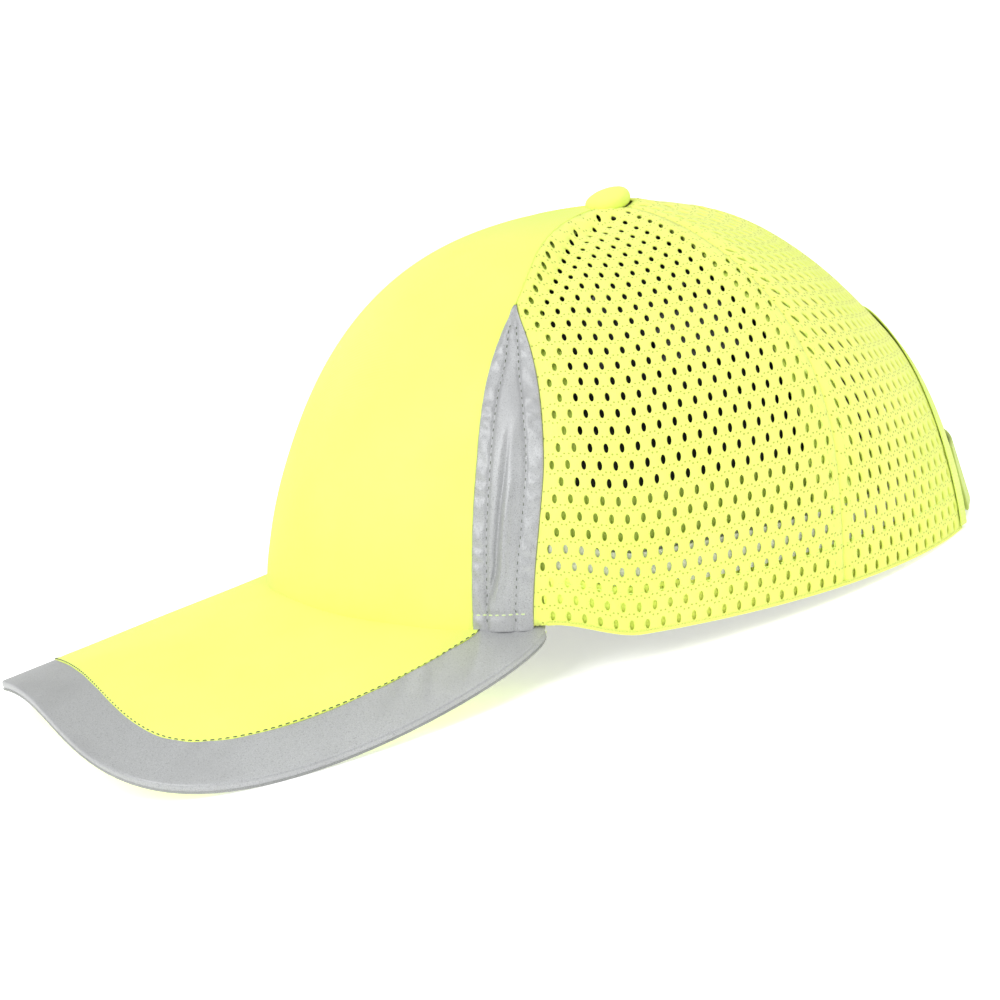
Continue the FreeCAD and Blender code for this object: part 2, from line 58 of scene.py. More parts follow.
BRIM_LENGTH, BRIM_FRONT_RISE, BRIM_SLOPE = 75.8, 12.6, 0.172
BRIM_CAMBER, BRIM_CORNER = 0.0061, 61.0
BRIM_FRONT_HANDLE, BRIM_SHOULDER, BRIM_SIDE_HANDLE = 75.5, 103.0, (90.0, -62.0)
BRIM_TUCK, BAND_WIDTH = 1.9, 15.8
COVER_TOP, UNDER_LOW = 0.65, -1.95
FRONT_SEAM, FRONT_SEAM_LEAN, FRONT_SEAM_TURN, REAR_SEAM = 49.4, 1.4, 16.5, 110.0
INSERT_SPREAD, INSERT_TIP = 12.0, 0.602
SWEATBAND_HEIGHT, HEM_HEIGHT, BAND_END = 31.5, 13.0, 137.5
ARCH_HALF_WIDTH, ARCH_HEIGHT, ARCH_POWER = 50.0, 58.0, 2.4
STRAP_LOW, STRAP_HIGH, STRAP_ROOT, STRAP_INSET = 3.8, 22.8, 141.0, 2.6
PEEL_AXIS, FLAP_END, STRAP_END = 192.0, 152.0, 188.0
SHELL_CLEAR, SHELL_REAR_EDGE = 36.0, 66.0
CROWN_PAD_RADIUS, PATCH_HALF_SIZE = 34.0, (12.0, 9.0)
PATCHES = ((0.0, 0.56), (90.0, 0.50), (180.0, 0.60), (270.0, 0.50))     # bearing, climb

SIDES = (("left", False), ("right", True))      # name, mirrored
MIRROR = np.array([-1.0, 1.0, 1.0])

head = frame["record"]["mounts"][0]
BASE = np.array(head["pos_m"])
TILT_SIN, TILT_COS = -head["axis"][1], -head["axis"][2]


def row(p):
    """Cap millimetres to row metres."""
    p = np.asarray(p, float) * 0.001
    x, y, z = p[..., 0], p[..., 1], p[..., 2]
    return np.stack([x, y * TILT_COS + z * TILT_SIN, -y * TILT_SIN + z * TILT_COS], -1) + BASE


def turn(v):
    x, y, z = v
    return Vector((x, y * TILT_COS + z * TILT_SIN, -y * TILT_SIN + z * TILT_COS))


def smooth(x, low, high):
    t = np.clip((np.asarray(x, float) - low) / (high - low), 0.0, 1.0)
    return t * t * (3.0 - 2.0 * t)


def fade(x, low, high):
    return 1.0 - smooth(x, low, high)


def bell(x, middle, width):
    return np.exp(-((x - middle) / width) ** 2)


def unit(v):
    return v / np.linalg.norm(v, axis=-1, keepdims=True)


def halve(below, low, high, rounds):
    """The place between low and high where below() turns false."""
    for _ in range(rounds):
        middle = (low + high) / 2
        under = below(middle)
        low, high = np.where(under, middle, low), np.where(under, high, middle)
    return (low + high) / 2


def wrapped(bearing):
    return np.abs((np.asarray(bearing, float) + 180.0) % 360.0 - 180.0)


def oval(bearing):
    a = np.radians(bearing)
    return HALF_WIDTH * np.sin(a), -HALF_LENGTH * np.cos(a)


def brim_height(x, y):
    ahead = -(y + HALF_LENGTH)
    return BRIM_FRONT_RISE - BRIM_SLOPE * ahead - BRIM_CAMBER * x * x / 2


def on_brim(bearing):
    return fade(wrapped(bearing), BRIM_CORNER + 1.0, BRIM_CORNER + 15.0)


def hem_height(bearing):
    away = wrapped(bearing)
    x, y = oval(away)
    inside = 1.0 - 1.4 / np.hypot(x, y)
    rise = np.maximum(away - 75.0, 0.0) / 105.0
    over = brim_height(x * inside, y * inside) + COVER_TOP + 0.3
    return on_brim(bearing) * over + REAR_RISE * rise * rise


def profile(exponents, rise):
    return np.maximum(1.0 - rise ** exponents[0], 0.0) ** (1.0 / exponents[1])


def crown_radius(bearing, rise):
    c = np.cos(np.radians(bearing))
    front = np.where(c > 0, c * c, 0.0)
    rear = np.where(c < 0, c * c, 0.0)
    side = 1.0 - front - rear
    plain = (front * profile(FRONT_PROFILE, rise) + side * profile(SIDE_PROFILE, rise)
             + rear * profile(REAR_PROFILE, rise))
    return plain + (REAR_TUCK * rear + SIDE_BELLY * side) * np.sin(np.pi * rise) ** 2


def crown_face(bearing, climb):
    angle = np.maximum(climb, 0.0) * math.pi / 2
    c, s = np.cos(angle), np.sin(angle)
    rise = halve(lambda middle: middle * c < crown_radius(bearing, middle) * s,
                 np.zeros(angle.shape), np.ones(angle.shape), 30)
    r = crown_radius(bearing, rise)
    x, y = oval(bearing)
    foot = hem_height(bearing)
    return np.stack([x * r, y * r + LEAN * rise, foot + (CROWN_HEIGHT - foot) * rise], -1)


def climb_at(bearing, height):
    low = hem_height(bearing)
    rise = (height - low) / (CROWN_HEIGHT - low)
    return np.arctan2(rise, crown_radius(bearing, np.clip(rise, 0.0, 1.0))) * 2 / np.pi


def look_up(table, i, j):
    """Bilinear value of a table at fractional places."""
    i = np.clip(i, 0, table.shape[0] - 1.0001)
    j = np.clip(j, 0, table.shape[1] - 1.0001)
    i0, j0 = i.astype(int), j.astype(int)
    u, v = i - i0, j - j0
    if table.ndim == 3:
        u, v = u[..., None], v[..., None]
    return ((table[i0, j0] * (1 - u) + table[i0 + 1, j0] * u) * (1 - v)
            + (table[i0, j0 + 1] * (1 - u) + table[i0 + 1, j0 + 1] * u) * v)


# the crown's outer face, tabled over one half of the head
AWAY_START, AWAY_STEP, CLIMB_STEP = -3.0, 0.5, 0.0025
FACES = crown_face(*np.meshgrid(np.arange(AWAY_START, 183.01, AWAY_STEP),
                                np.arange(0.0, 0.99, CLIMB_STEP), indexing="ij"))
round_step, up_step = np.gradient(FACES, AWAY_STEP, CLIMB_STEP, axis=(0, 1))
NORMALS = unit(np.cross(round_step, up_step))
SPEED = np.linalg.norm(round_step, axis=-1)


def crown(bearing, climb, depth=0.0):
    """Points at a depth inside the crown's outer face."""
    bearing, climb, depth = np.broadcast_arrays(np.asarray(bearing, float), climb, depth)
    b = (bearing + 180.0) % 360.0 - 180.0
    sign = np.where(b < 0, -1.0, 1.0)
    i, j = (np.abs(b) - AWAY_START) / AWAY_STEP, np.maximum(climb, 0.0) / CLIMB_STEP
    p = look_up(FACES, i, j)
    below = np.minimum(climb, 0.0)[..., None] / CLIMB_STEP
    p = p + (look_up(FACES, i, j * 0 + 1) - look_up(FACES, i, j * 0)) * below
    p = p - look_up(NORMALS, i, j) * depth[..., None]
    p[..., 0] *= sign
    return p


def millimetres_per_degree(bearing, climb):
    return look_up(SPEED, (wrapped(bearing) - AWAY_START) / AWAY_STEP, np.maximum(climb, 0.0) / CLIMB_STEP)


def front_seam(climb):
    lean = FRONT_SEAM_LEAN * smooth(climb, 0.25, 0.5)
    return FRONT_SEAM - lean - FRONT_SEAM_TURN * smooth(climb, 0.59, 1.0)


def side_edge(climb):
    t = np.clip(np.asarray(climb, float) / INSERT_TIP, 0.0, 1.0)
    widest = INSERT_SPREAD * (0.83 + 0.17 * smooth(climb, 0.0, 0.3))
    return front_seam(climb) + widest * (1.0 - t ** 7) ** 1.6


def ripple(a, b, seed, count=6):
    """Smooth unrepeated waves of about unit size over two coordinates."""
    rng = np.random.default_rng(seed)
    total = 0.0
    for _ in range(count):
        fa, fb = rng.normal(size=2)
        total = total + np.sin(a * fa + b * fb + rng.uniform(0, 6.28))
    return total / math.sqrt(count / 2)


def relief(bearing, climb):
    """How far the sewn crown lies inside the smooth dome, in millimetres: panels pull flat
    between their seams, and every seam sits in a shallow valley."""
    a = wrapped(bearing)
    per = millimetres_per_degree(bearing, climb)
    edge = side_edge(climb)
    side = np.clip((a - edge) / (REAR_SEAM - edge), 0.0, 1.0)
    rear = np.clip((a - REAR_SEAM) / 70.0, 0.0, 1.0)
    high = smooth(climb, 0.26, 0.52) * fade(climb, 0.86, 0.96)
    flat = (1.9 * np.sin(np.pi * side) + 1.4 * np.sin(np.pi * rear)) * high
    dip = 2.3 * bell((a - edge) * per, 7.0, 4.2) * smooth(climb, 0.50, 0.68)
    dip = dip * fade(climb, 0.88, 0.96) * (a > edge)
    at_insert = 0.4 - 0.34 * smooth(climb, INSERT_TIP - 0.12, INSERT_TIP)
    valley = 0.0
    for seam, deep in ((front_seam(climb), at_insert), (edge, at_insert), (REAR_SEAM, 0.4), (180.0, 0.4)):
        valley = valley + deep * bell(a * per, seam * per, 1.1)
    ridge = 0.45 * bell(np.abs(a - REAR_SEAM) * per, 5.0, 3.0) * smooth(climb, 0.05, 0.2)
    soft = 0.22 * ripple(a * 0.11, climb * 9.0, 4) * smooth(climb, 0.1, 0.3) * (a > front_seam(climb))
    return np.maximum(flat + dip + valley - ridge + soft, -0.4)


# ---- meshes ----
def add_mesh(name, points, faces, material, body="cap", flat=None):
    """A piece from row-frame points. flat holds cloth coordinates for its material."""
    mesh = bpy.data.meshes.new(name)
    mesh.from_pydata([tuple(p) for p in points], [], faces)
    mesh.update()
    if flat is not None:
        layer = mesh.attributes.new("cloth", "FLOAT_VECTOR", "POINT")
        full = np.zeros((len(points), 3), np.float32)
        full[:, :2] = flat
        layer.data.foreach_set("vector", full.ravel())
    mesh.shade_smooth()
    mesh.materials.append(material)
    obj = bpy.data.objects.new(name, mesh)
    bpy.context.scene.collection.objects.link(obj)
    if body:
        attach(obj, body)
    return obj


def ticks(length, radius, step):
    """Places 0..1 along a length: close together at both rounded ends, even between."""
    near = np.array([0.0, 0.08, 0.3, 0.62, 1.0]) * min(radius, length * 0.3) / length
    inner = np.linspace(near[-1], 1.0 - near[-1], max(int((length - 2 * radius) / step), 1) + 1)
    return np.concatenate([near[:-1], inner, 1.0 - near[:-1][::-1]])


def rounded(places, length, radius):
    edge = np.minimum(places, 1.0 - places) * length
    t = np.clip(edge / min(radius, length * 0.3), 0.0, 1.0)
    return np.sqrt(np.maximum(1.0 - (1.0 - t) ** 2, 0.0))


def quads(grid):
    """Faces of a grid of point numbers."""
    return np.stack([grid[:-1, :-1], grid[1:, :-1], grid[1:, 1:], grid[:-1, 1:]], -1).reshape(-1, 4)


def tube(rings, sides, start):
    """Faces of a closed tube whose points run ring by ring."""
    faces = []
    for r in range(rings - 1):
        for m in range(sides):
            a, b = start + r * sides + m, start + r * sides + (m + 1) % sides
            faces.append((a, b, b + sides, a + sides))
    ends = start + (rings - 1) * sides
    return faces + [tuple(range(start, start + sides))[::-1], tuple(range(ends, ends + sides))]


def pad(name, place, size, depths, step, material, slot, body="cap", radius=None, mirror=False):
    """A closed sheet with rounded edges. place(s, t, depth) gives cap points."""
    radius = radius or (depths[1] - depths[0]) / 2
    s, t = ticks(size[0], radius, step[0]), ticks(size[1], radius, step[1])
    S, T = np.meshgrid(s, t, indexing="ij")
    full = rounded(S, size[0], radius) * rounded(T, size[1], radius)
    middle, half = sum(depths) / 2, (depths[1] - depths[0]) / 2
    outer = place(S, T, middle - half * full)
    inner = place(S, T, middle + half * full)
    points = np.concatenate([outer.reshape(-1, 3), inner.reshape(-1, 3)])
    n, m = S.shape
    index = np.arange(n * m).reshape(n, m)
    border = np.zeros((n, m), bool)
    border[0], border[-1], border[:, 0], border[:, -1] = True, True, True, True
    back = np.where(border, index, index + n * m)
    used, numbers = np.unique(np.concatenate([quads(index), quads(back)[:, ::-1]]), return_inverse=True)
    faces = numbers.reshape(-1, 4)
    flat = np.stack([S * size[0], T * size[1]], -1).reshape(-1, 2)
    flat = np.concatenate([flat, flat])[used]
    if mirror:
        points = points * MIRROR
        faces = faces[:, ::-1]
    return add_mesh(name, row(points[used]), faces.tolist(), material, body, flat)


def between(left, right, low, high, with_relief=True):
    """A place function for crown layers between two bearings and two climbs."""
    def place(s, t, depth):
        guess = left(0.5) + (right(0.5) - left(0.5)) * s
        climb = low(guess) + (high(guess) - low(guess)) * t
        bearing = left(climb) + (right(climb) - left(climb)) * s
        extra = relief(bearing, climb) if with_relief else 0.0
        return crown(bearing, climb, depth + extra)

    return place


def level(value):
    return lambda x: value + 0.0 * np.asarray(x, float)


def rise_to(height):
    return lambda bearing: climb_at(bearing, hem_height(bearing) + height)


# ---- cloth coordinates of a panel ----
class Pattern:
    """Flattens the crown round one grain line: p runs round the head, q up the panel."""

    def __init__(self, middle):
        self.middle = middle
        self.climbs = np.linspace(-0.02, 0.97, 240)
        self.numbers = np.arange(float(len(self.climbs)))
        self.spans = np.linspace(-80.0, 80.0, 321)
        grain = len(self.spans) // 2
        points = crown(middle + self.spans[None, :], self.climbs[:, None])
        steps = np.linalg.norm(np.diff(points, axis=1), axis=-1)
        arc = np.pad(np.cumsum(steps, axis=1), ((0, 0), (1, 0)))
        self.arc = arc - arc[:, grain:grain + 1]
        rises = np.linalg.norm(np.diff(points[:, grain], axis=0), axis=-1)
        q = np.pad(np.cumsum(rises), (1, 0))
        self.q = q - np.interp(0.0, self.climbs, q)
        self.grid = np.linspace(-110.0, 110.0, 441)
        self.back = np.array([np.interp(self.grid, a, self.spans) for a in self.arc])

    def flat(self, bearing, climb):
        i = np.interp(climb, self.climbs, self.numbers)
        j = (bearing - self.middle - self.spans[0]) / (self.spans[1] - self.spans[0])
        return np.stack([look_up(self.arc, i, j), np.interp(climb, self.climbs, self.q)], -1)

    def crown(self, p, q):
        climb = np.interp(q, self.q, self.climbs)
        i = np.interp(climb, self.climbs, self.numbers)
        j = (p - self.grid[0]) / (self.grid[1] - self.grid[0])
        return self.middle + look_up(self.back, i, j), climb


def inside(polygon, points):
    """Which points lie in a closed polygon."""
    x, y = points[:, 0], points[:, 1]
    hit = np.zeros(len(points), bool)
    for (x0, y0), (x1, y1) in zip(polygon, np.roll(polygon, -1, axis=0)):
        if y0 == y1:
            continue
        hit ^= ((y0 > y) != (y1 > y)) & (x < (x1 - x0) * (y - y0) / (y1 - y0) + x0)
    return hit


def edge_distance(polygon, points):
    best = np.full(len(points), 1e9)
    for a, b in zip(polygon, np.roll(polygon, -1, axis=0)):
        d = b - a
        t = np.clip(((points - a) @ d) / max(d @ d, 1e-9), 0.0, 1.0)
        best = np.minimum(best, np.linalg.norm(points - a - t[:, None] * d, axis=1))
    return best


HOLE_PITCH, ROW_PITCH, ROW_START = 4.4, 4.95, 2.6
HOLE_HALF = np.array([0.66, 1.36])
MESH_THICK = 0.9
PIN_HOLES = ((0.63, 3.15), (1.57, 2.35))    # beside a hole's column, above its row
RING = 14               # corners of a hole
LIP_END = 1.32          # where a hole's rounded lip ends, in hole sizes
# points between the holes, in pitches across and millimetres up from a hole
FILL = ((0.5, -0.2), (0.5, 0.9), (0.25, ROW_PITCH * 0.5), (0.75, ROW_PITCH * 0.5), (0.5, -1.3), (0.0, 0.0))


def hole_sizes(points, holes):
    """Distance from the middle of the nearest hole, in hole sizes."""
    best = np.full(len(points), 9.0)
    for centre in holes:
        best = np.minimum(best, np.linalg.norm((points - centre) / HOLE_HALF, axis=1))
    return best


def mesh_panel(name, pattern, edge_points, node, mirror, phase=0.0):
    """A panel of mesh cloth with every hole cut through, and rounded hole lips."""
    polygon = pattern.flat(edge_points[:, 0], edge_points[:, 1])
    low, high = polygon.min(0), polygon.max(0)
    rows = np.arange(math.floor(low[1] / ROW_PITCH), math.ceil(high[1] / ROW_PITCH) + 1)
    columns = np.arange(math.floor(low[0] / HOLE_PITCH) - 1, math.ceil(high[0] / HOLE_PITCH) + 2)
    rr, cc = np.meshgrid(rows, columns, indexing="ij")
    lattice = np.stack([(cc + 0.5 * (rr % 2) + phase) * HOLE_PITCH, rr * ROW_PITCH + ROW_START], -1)
    lattice = lattice.reshape(-1, 2)
    holes = lattice[inside(polygon, lattice)]
    holes = holes[edge_distance(polygon, holes) > 1.75]
    angles = np.arange(RING) * 2 * np.pi / RING
    circle = np.stack([np.cos(angles), np.sin(angles)], -1)
    verts = [tuple(p) for p in polygon]
    edges = [(k, (k + 1) % len(polygon)) for k in range(len(polygon))]
    for grow in (1.0, LIP_END):
        for centre in holes:
            start = len(verts)
            verts += [tuple(centre + HOLE_HALF * grow * c) for c in circle]
            edges += [(start + k, start + (k + 1) % RING) for k in range(RING)]
    fill = np.concatenate([lattice + (HOLE_PITCH * across, up) for across, up in FILL])
    fill = fill[inside(polygon, fill)]
    fill = fill[edge_distance(polygon, fill) > 0.9]
    verts += [tuple(p) for p in fill[hole_sizes(fill, holes) > 1.55]]
    out, _, tris, _, _, _ = delaunay_2d_cdt([Vector(v) for v in verts], edges, [], 0, 1e-5, False)
    flat = np.array([(v.x, v.y) for v in out])
    tris = np.array([t for t in tris if len(t) == 3])
    centres = flat[tris].mean(1)
    tris = tris[inside(polygon, centres) & (hole_sizes(centres, holes) > 0.97)]
    corners = flat[tris]
    ab, ac = corners[:, 1] - corners[:, 0], corners[:, 2] - corners[:, 0]
    turned = ab[:, 0] * ac[:, 1] - ab[:, 1] * ac[:, 0] < 0
    tris[turned] = tris[turned][:, ::-1]
    used, numbers = np.unique(tris, return_inverse=True)
    tris, flat = numbers.reshape(-1, 3).tolist(), flat[used]
    bearing, climb = pattern.crown(flat[:, 0], flat[:, 1])
    inset = relief(bearing, climb)
    roll = 0.3 * fade(hole_sizes(flat, holes), 1.0, LIP_END)
    rim = 0.2 * fade(edge_distance(polygon, flat), 0.0, 0.4)
    outer = crown(bearing, climb, inset + np.maximum(roll, rim))
    inner = crown(bearing, climb, inset + MESH_THICK - np.maximum(roll, rim))
    n = len(flat)
    seen = {}
    for a, b, c in tris:
        seen.update({(a, b): True, (b, c): True, (c, a): True})
    walls = [(b, a, a + n, b + n) for a, b in seen if (b, a) not in seen]
    faces = tris + [(c + n, b + n, a + n) for a, b, c in tris] + walls
    points = np.concatenate([outer, inner])
    if mirror:
        points = points * MIRROR
        faces = [f[::-1] for f in faces]
    obj = add_mesh(name, row(points), faces, MAT["mesh_fabric"], "cap",
                   np.concatenate([flat, flat]) - (phase * HOLE_PITCH, ROW_START))
    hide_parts(node)


def stitches(name, path, normals, material, slot, pitch=2.6, length=1.7, thick=0.28, sink=0.05):
    """Thread showing as short rounded bars along a line of cap points."""
    run = np.pad(np.cumsum(np.linalg.norm(np.diff(path, axis=0), axis=1)), (1, 0))

    def at_run(values, at):
        return np.array([np.interp(at, run, values[:, i]) for i in range(3)])

    points, faces = [], []
    rings = ((-0.5, 0.35), (-0.36, 0.9), (0.0, 1.0), (0.36, 0.9), (0.5, 0.35))
    sides = 6
    for k in range(int(run[-1] / pitch)):
        at = (k + 0.5) * pitch
        here = at_run(path, at)
        ahead = at_run(path, at + 0.4) - here
        if np.linalg.norm(ahead) < 1e-6:
            continue
        ahead = unit(ahead)
        normal = at_run(normals, at)
        normal = unit(normal - ahead * (normal @ ahead))
        across = np.cross(ahead, normal)
        start = len(points)
        for along, size in rings:
            dip = sink + thick * 0.6 * (2 * along) ** 2
            for m in range(sides):
                a = 2 * math.pi * m / sides
                out = math.sin(a) * thick * size * 0.7 - dip
                offset = across * math.cos(a) * thick * size + normal * out
                points.append(here + ahead * along * length + offset)
        faces += tube(len(rings), sides, start)
    add_mesh(name, row(np.array(points)), faces, material)


def crown_stitches(name, bearings, climbs, **keys):
    """Yellow stitches on the mesh of the crown."""
    base = crown(bearings, climbs, relief(bearings, climbs))
    out = base - crown(bearings, climbs, relief(bearings, climbs) + 1.0)
    stitches(name, base, out, MAT["yellow_thread"], "mesh_fabric", thick=0.18, sink=0.02, **keys)


# ---- materials ----
class Shader:
    def __init__(self, name, color, roughness, metallic=0.0, sheen=0.0, specular=0.5):
        self.material = bpy.data.materials.new(name)
        self.material.use_nodes = True
        self.tree = self.material.node_tree
        self.bsdf = self.tree.nodes["Principled BSDF"]
        self.bsdf.inputs["Base Color"].default_value = (*color, 1.0)
        self.bsdf.inputs["Roughness"].default_value = roughness
        self.bsdf.inputs["Metallic"].default_value = metallic
        self.bsdf.inputs["Specular IOR Level"].default_value = specular
        if sheen:
            self.bsdf.inputs["Sheen Weight"].default_value = sheen
            self.bsdf.inputs["Sheen Roughness"].default_value = 0.5
        self.color = tuple(color)
        self.height = None
        self.tint = None

    def node(self, kind, **values):
        made = self.tree.nodes.new(kind)
        for key, value in values.items():
            if key[0].isupper():
                made.inputs[key.replace("_", " ")].default_value = value
            else:
                setattr(made, key, value)
        return made

    def link(self, a, b):
        self.tree.links.new(a, b)

    def math(self, operation, a, b=None, clamp=False):
        made = self.node("ShaderNodeMath", operation=operation)
        made.use_clamp = clamp
        for socket, value in zip(made.inputs, (a, b)):
            if value is None:
                continue
            if isinstance(value, (int, float)):
                socket.default_value = value
            else:
                self.link(value, socket)
        return made.outputs[0]

    def place(self):
        """Object coordinates, in metres."""
        return self.node("ShaderNodeTexCoord").outputs["Object"]

    def cloth(self):
        """Cloth coordinates, in millimetres."""
        split = self.node("ShaderNodeSeparateXYZ")
        source = self.node("ShaderNodeAttribute", attribute_name="cloth")
        self.link(source.outputs["Vector"], split.inputs[0])
        return split.outputs["X"], split.outputs["Y"]

    def noise(self, scale, detail=2.0, roughness=0.5):
        made = self.node("ShaderNodeTexNoise", Scale=scale, Detail=detail, Roughness=roughness)
        self.link(self.place(), made.inputs["Vector"])
        return made.outputs["Fac"]

    def ramp(self, value, low, high, to_low=0.0, to_high=1.0):
        made = self.node("ShaderNodeMapRange", From_Min=low, From_Max=high, To_Min=to_low, To_Max=to_high)
        self.link(value, made.inputs["Value"])
        return made.outputs["Result"]

    def paint(self, factor, color):
        """Mixes another colour into the base by a factor."""
        mix = self.node("ShaderNodeMix", data_type="RGBA")
        self.link(factor, mix.inputs["Factor"])
        if self.tint is None:
            mix.inputs[6].default_value = (*self.color, 1.0)
        else:
            self.link(self.tint, mix.inputs[6])
        mix.inputs[7].default_value = (*color, 1.0)
        self.tint = mix.outputs[2]
        self.link(self.tint, self.bsdf.inputs["Base Color"])

    def mottle(self, scale, detail, low, high, color):
        """Blotches of another colour, where a noise is between low and high."""
        self.paint(self.ramp(self.noise(scale, detail), low, high), color)

    def bump(self, height, distance, strength=1.0):
        made = self.node("ShaderNodeBump", Strength=strength, Distance=distance)
        self.link(height, made.inputs["Height"])
        if self.height is not None:
            self.link(self.height, made.inputs["Normal"])
        self.height = made.outputs["Normal"]
        self.link(self.height, self.bsdf.inputs["Normal"])

    def rough(self, value, low, high):
        self.link(self.ramp(value, 0.0, 1.0, low, high), self.bsdf.inputs["Roughness"])

    def ribs(self, v, pitch):
        return self.math("ABSOLUTE", self.math("SINE", self.math("MULTIPLY", v, math.pi / pitch)))

    def threads(self, x, y, pitch):
        """Over-and-under threads of a plain weave."""
        return self.math("MAXIMUM", self.ribs(x, pitch), self.ribs(y, pitch))

    def apart(self, value, middle):
        """The squared distance of a value from a middle."""
        return self.math("POWER", self.math("ABSOLUTE", self.math("SUBTRACT", value, middle)), 2.0)


YELLOW = (0.86, 1.0, 0.20)
YELLOW_MESH = (0.90, 0.98, 0.21)


def woven(name, color, shade, pitch=0.42, sheen=0.15):
    made = Shader(name, color, 0.85, sheen=sheen, specular=0.25)
    x, y = made.cloth()
    made.mottle(28.0, 3.0, 0.35, 0.75, shade)
    made.bump(made.threads(x, y, pitch), 0.00008, 0.7)
    made.bump(made.noise(160.0, 4.0, 0.6), 0.00025, 0.5)
    return made.material


def mesh_cloth():
    made = Shader("mesh_cloth", YELLOW_MESH, 0.8, sheen=0.2, specular=0.3)
    x, y = made.cloth()
    made.mottle(22.0, 3.0, 0.4, 0.8, (0.80, 0.93, 0.16))
    row_number = made.math("FLOOR", made.math("DIVIDE", y, ROW_PITCH))
    shifted = made.math("SUBTRACT", made.math("DIVIDE", x, HOLE_PITCH),
                        made.math("FRACT", made.math("MULTIPLY", row_number, 0.5)))
    beside = made.math("SUBTRACT", made.math("FRACT", made.math("ADD", shifted, 0.5)), 0.5)
    beside = made.math("MULTIPLY", made.math("ABSOLUTE", beside), HOLE_PITCH)
    above = made.math("SUBTRACT", y, made.math("MULTIPLY", row_number, ROW_PITCH))
    shaded_pinholes = None
    for across, up in PIN_HOLES:
        off = made.math("ADD", made.apart(beside, across), made.apart(above, up))
        pinhole_spot = made.math("SUBTRACT", 1.0, made.ramp(off, 0.03, 0.11), clamp=True)
        shaded_pinholes = pinhole_spot if shaded_pinholes is None else made.math("MAXIMUM", shaded_pinholes, pinhole_spot)
    # The pin holes are painted dark olive: painted shade inside the small holes of the knit. The same mask
    # also sinks them in the bump below.
    made.paint(made.math("MULTIPLY", shaded_pinholes, 0.8), (0.40, 0.46, 0.04))
    knit = made.threads(x, made.math("MULTIPLY", y, 1.4), 0.5)
    made.bump(made.math("SUBTRACT", knit, made.math("MULTIPLY", shaded_pinholes, 1.5)), 0.00012, 0.8)
    made.bump(made.noise(300.0, 3.0), 0.0002, 0.4)
    return made.material


def silver():
    made = Shader("silver", (0.39, 0.40, 0.405), 0.45, metallic=0.3, sheen=0.1, specular=0.5)
    made.paint(made.ramp(made.noise(4200.0, 1.0, 0.5), 0.46, 0.66), (0.47, 0.48, 0.485))
    made.paint(made.ramp(made.noise(2600.0, 1.0, 0.5), 0.56, 0.72), (0.29, 0.295, 0.30))
    made.mottle(35.0, 3.0, 0.5, 0.85, (0.34, 0.345, 0.35))
    made.rough(made.noise(3000.0, 1.0), 0.35, 0.6)
    made.bump(made.noise(2500.0, 2.0), 0.00005, 0.6)
    made.bump(made.noise(220.0, 3.0), 0.00018, 0.5)
    return made.material


def tape(name, color, shade, pitch=0.7, roughness=0.8, sheen=0.2):
    made = Shader(name, color, roughness, sheen=sheen, specular=0.3)
    x, y = made.cloth()
    made.mottle(60.0, 3.0, 0.4, 0.7, shade)
    made.bump(made.ribs(x, pitch), 0.00015, 0.7)
    made.bump(made.threads(x, y, pitch / 2), 0.00006, 0.6)
    return made.material


def terry():
    made = Shader("terry", (0.93, 0.95, 0.88), 0.95, sheen=0.5, specular=0.1)
    made.mottle(900.0, 2.0, 0.4, 0.7, (0.82, 0.84, 0.77))
    made.bump(made.noise(1300.0, 3.0, 0.7), 0.0006, 0.9)
    made.bump(made.noise(120.0, 2.0), 0.0008, 0.4)
    return made.material


def pile(name, color, shade, scale, depth):
    made = Shader(name, color, 0.9, sheen=0.3, specular=0.2)
    made.mottle(scale, 2.0, 0.4, 0.65, shade)
    made.bump(made.noise(scale * 1.3, 3.0, 0.7), depth, 1.0)
    return made.material


def hooks(name):
    made = Shader(name, (0.035, 0.035, 0.037), 0.5, specular=0.4)
    x, y = made.cloth()
    cells = []
    for v in (x, y):
        part = made.math("FRACT", made.math("DIVIDE", v, 1.1))
        cells.append(made.math("POWER", made.math("SUBTRACT", part, 0.5), 2.0))
    highlit_studs = made.math("SUBTRACT", 1.0, made.ramp(made.math("ADD", cells[0], cells[1]), 0.02, 0.12))
    # The raised hook studs are painted lighter grey: a painted highlight on their tops.
    made.paint(highlit_studs, (0.09, 0.09, 0.095))
    made.bump(highlit_studs, 0.0005, 1.0)
    return made.material


def moulded(name, color, worn, roughness, grain, metallic=0.0):
    made = Shader(name, color, roughness, metallic)
    made.paint(made.ramp(made.noise(90.0, 4.0, 0.6), 0.55, 0.8), worn)
    made.rough(made.noise(140.0, 3.0), roughness - 0.08, roughness + 0.12)
    made.bump(made.noise(grain, 2.0), 0.00006, 0.6)
    return made.material


def foam_cells():
    made = Shader("foam_cells", (0.045, 0.045, 0.05), 0.9, sheen=0.15, specular=0.2)
    made.mottle(1500.0, 2.0, 0.5, 0.7, (0.085, 0.085, 0.09))
    made.bump(made.noise(1700.0, 3.0, 0.7), 0.0004, 0.8)
    return made.material


def thread(name, color, shade):
    made = Shader(name, color, 0.7, sheen=0.2, specular=0.3)
    made.mottle(2500.0, 1.0, 0.4, 0.6, shade)
    made.bump(made.noise(5000.0, 1.0), 0.00005, 0.6)
    return made.material


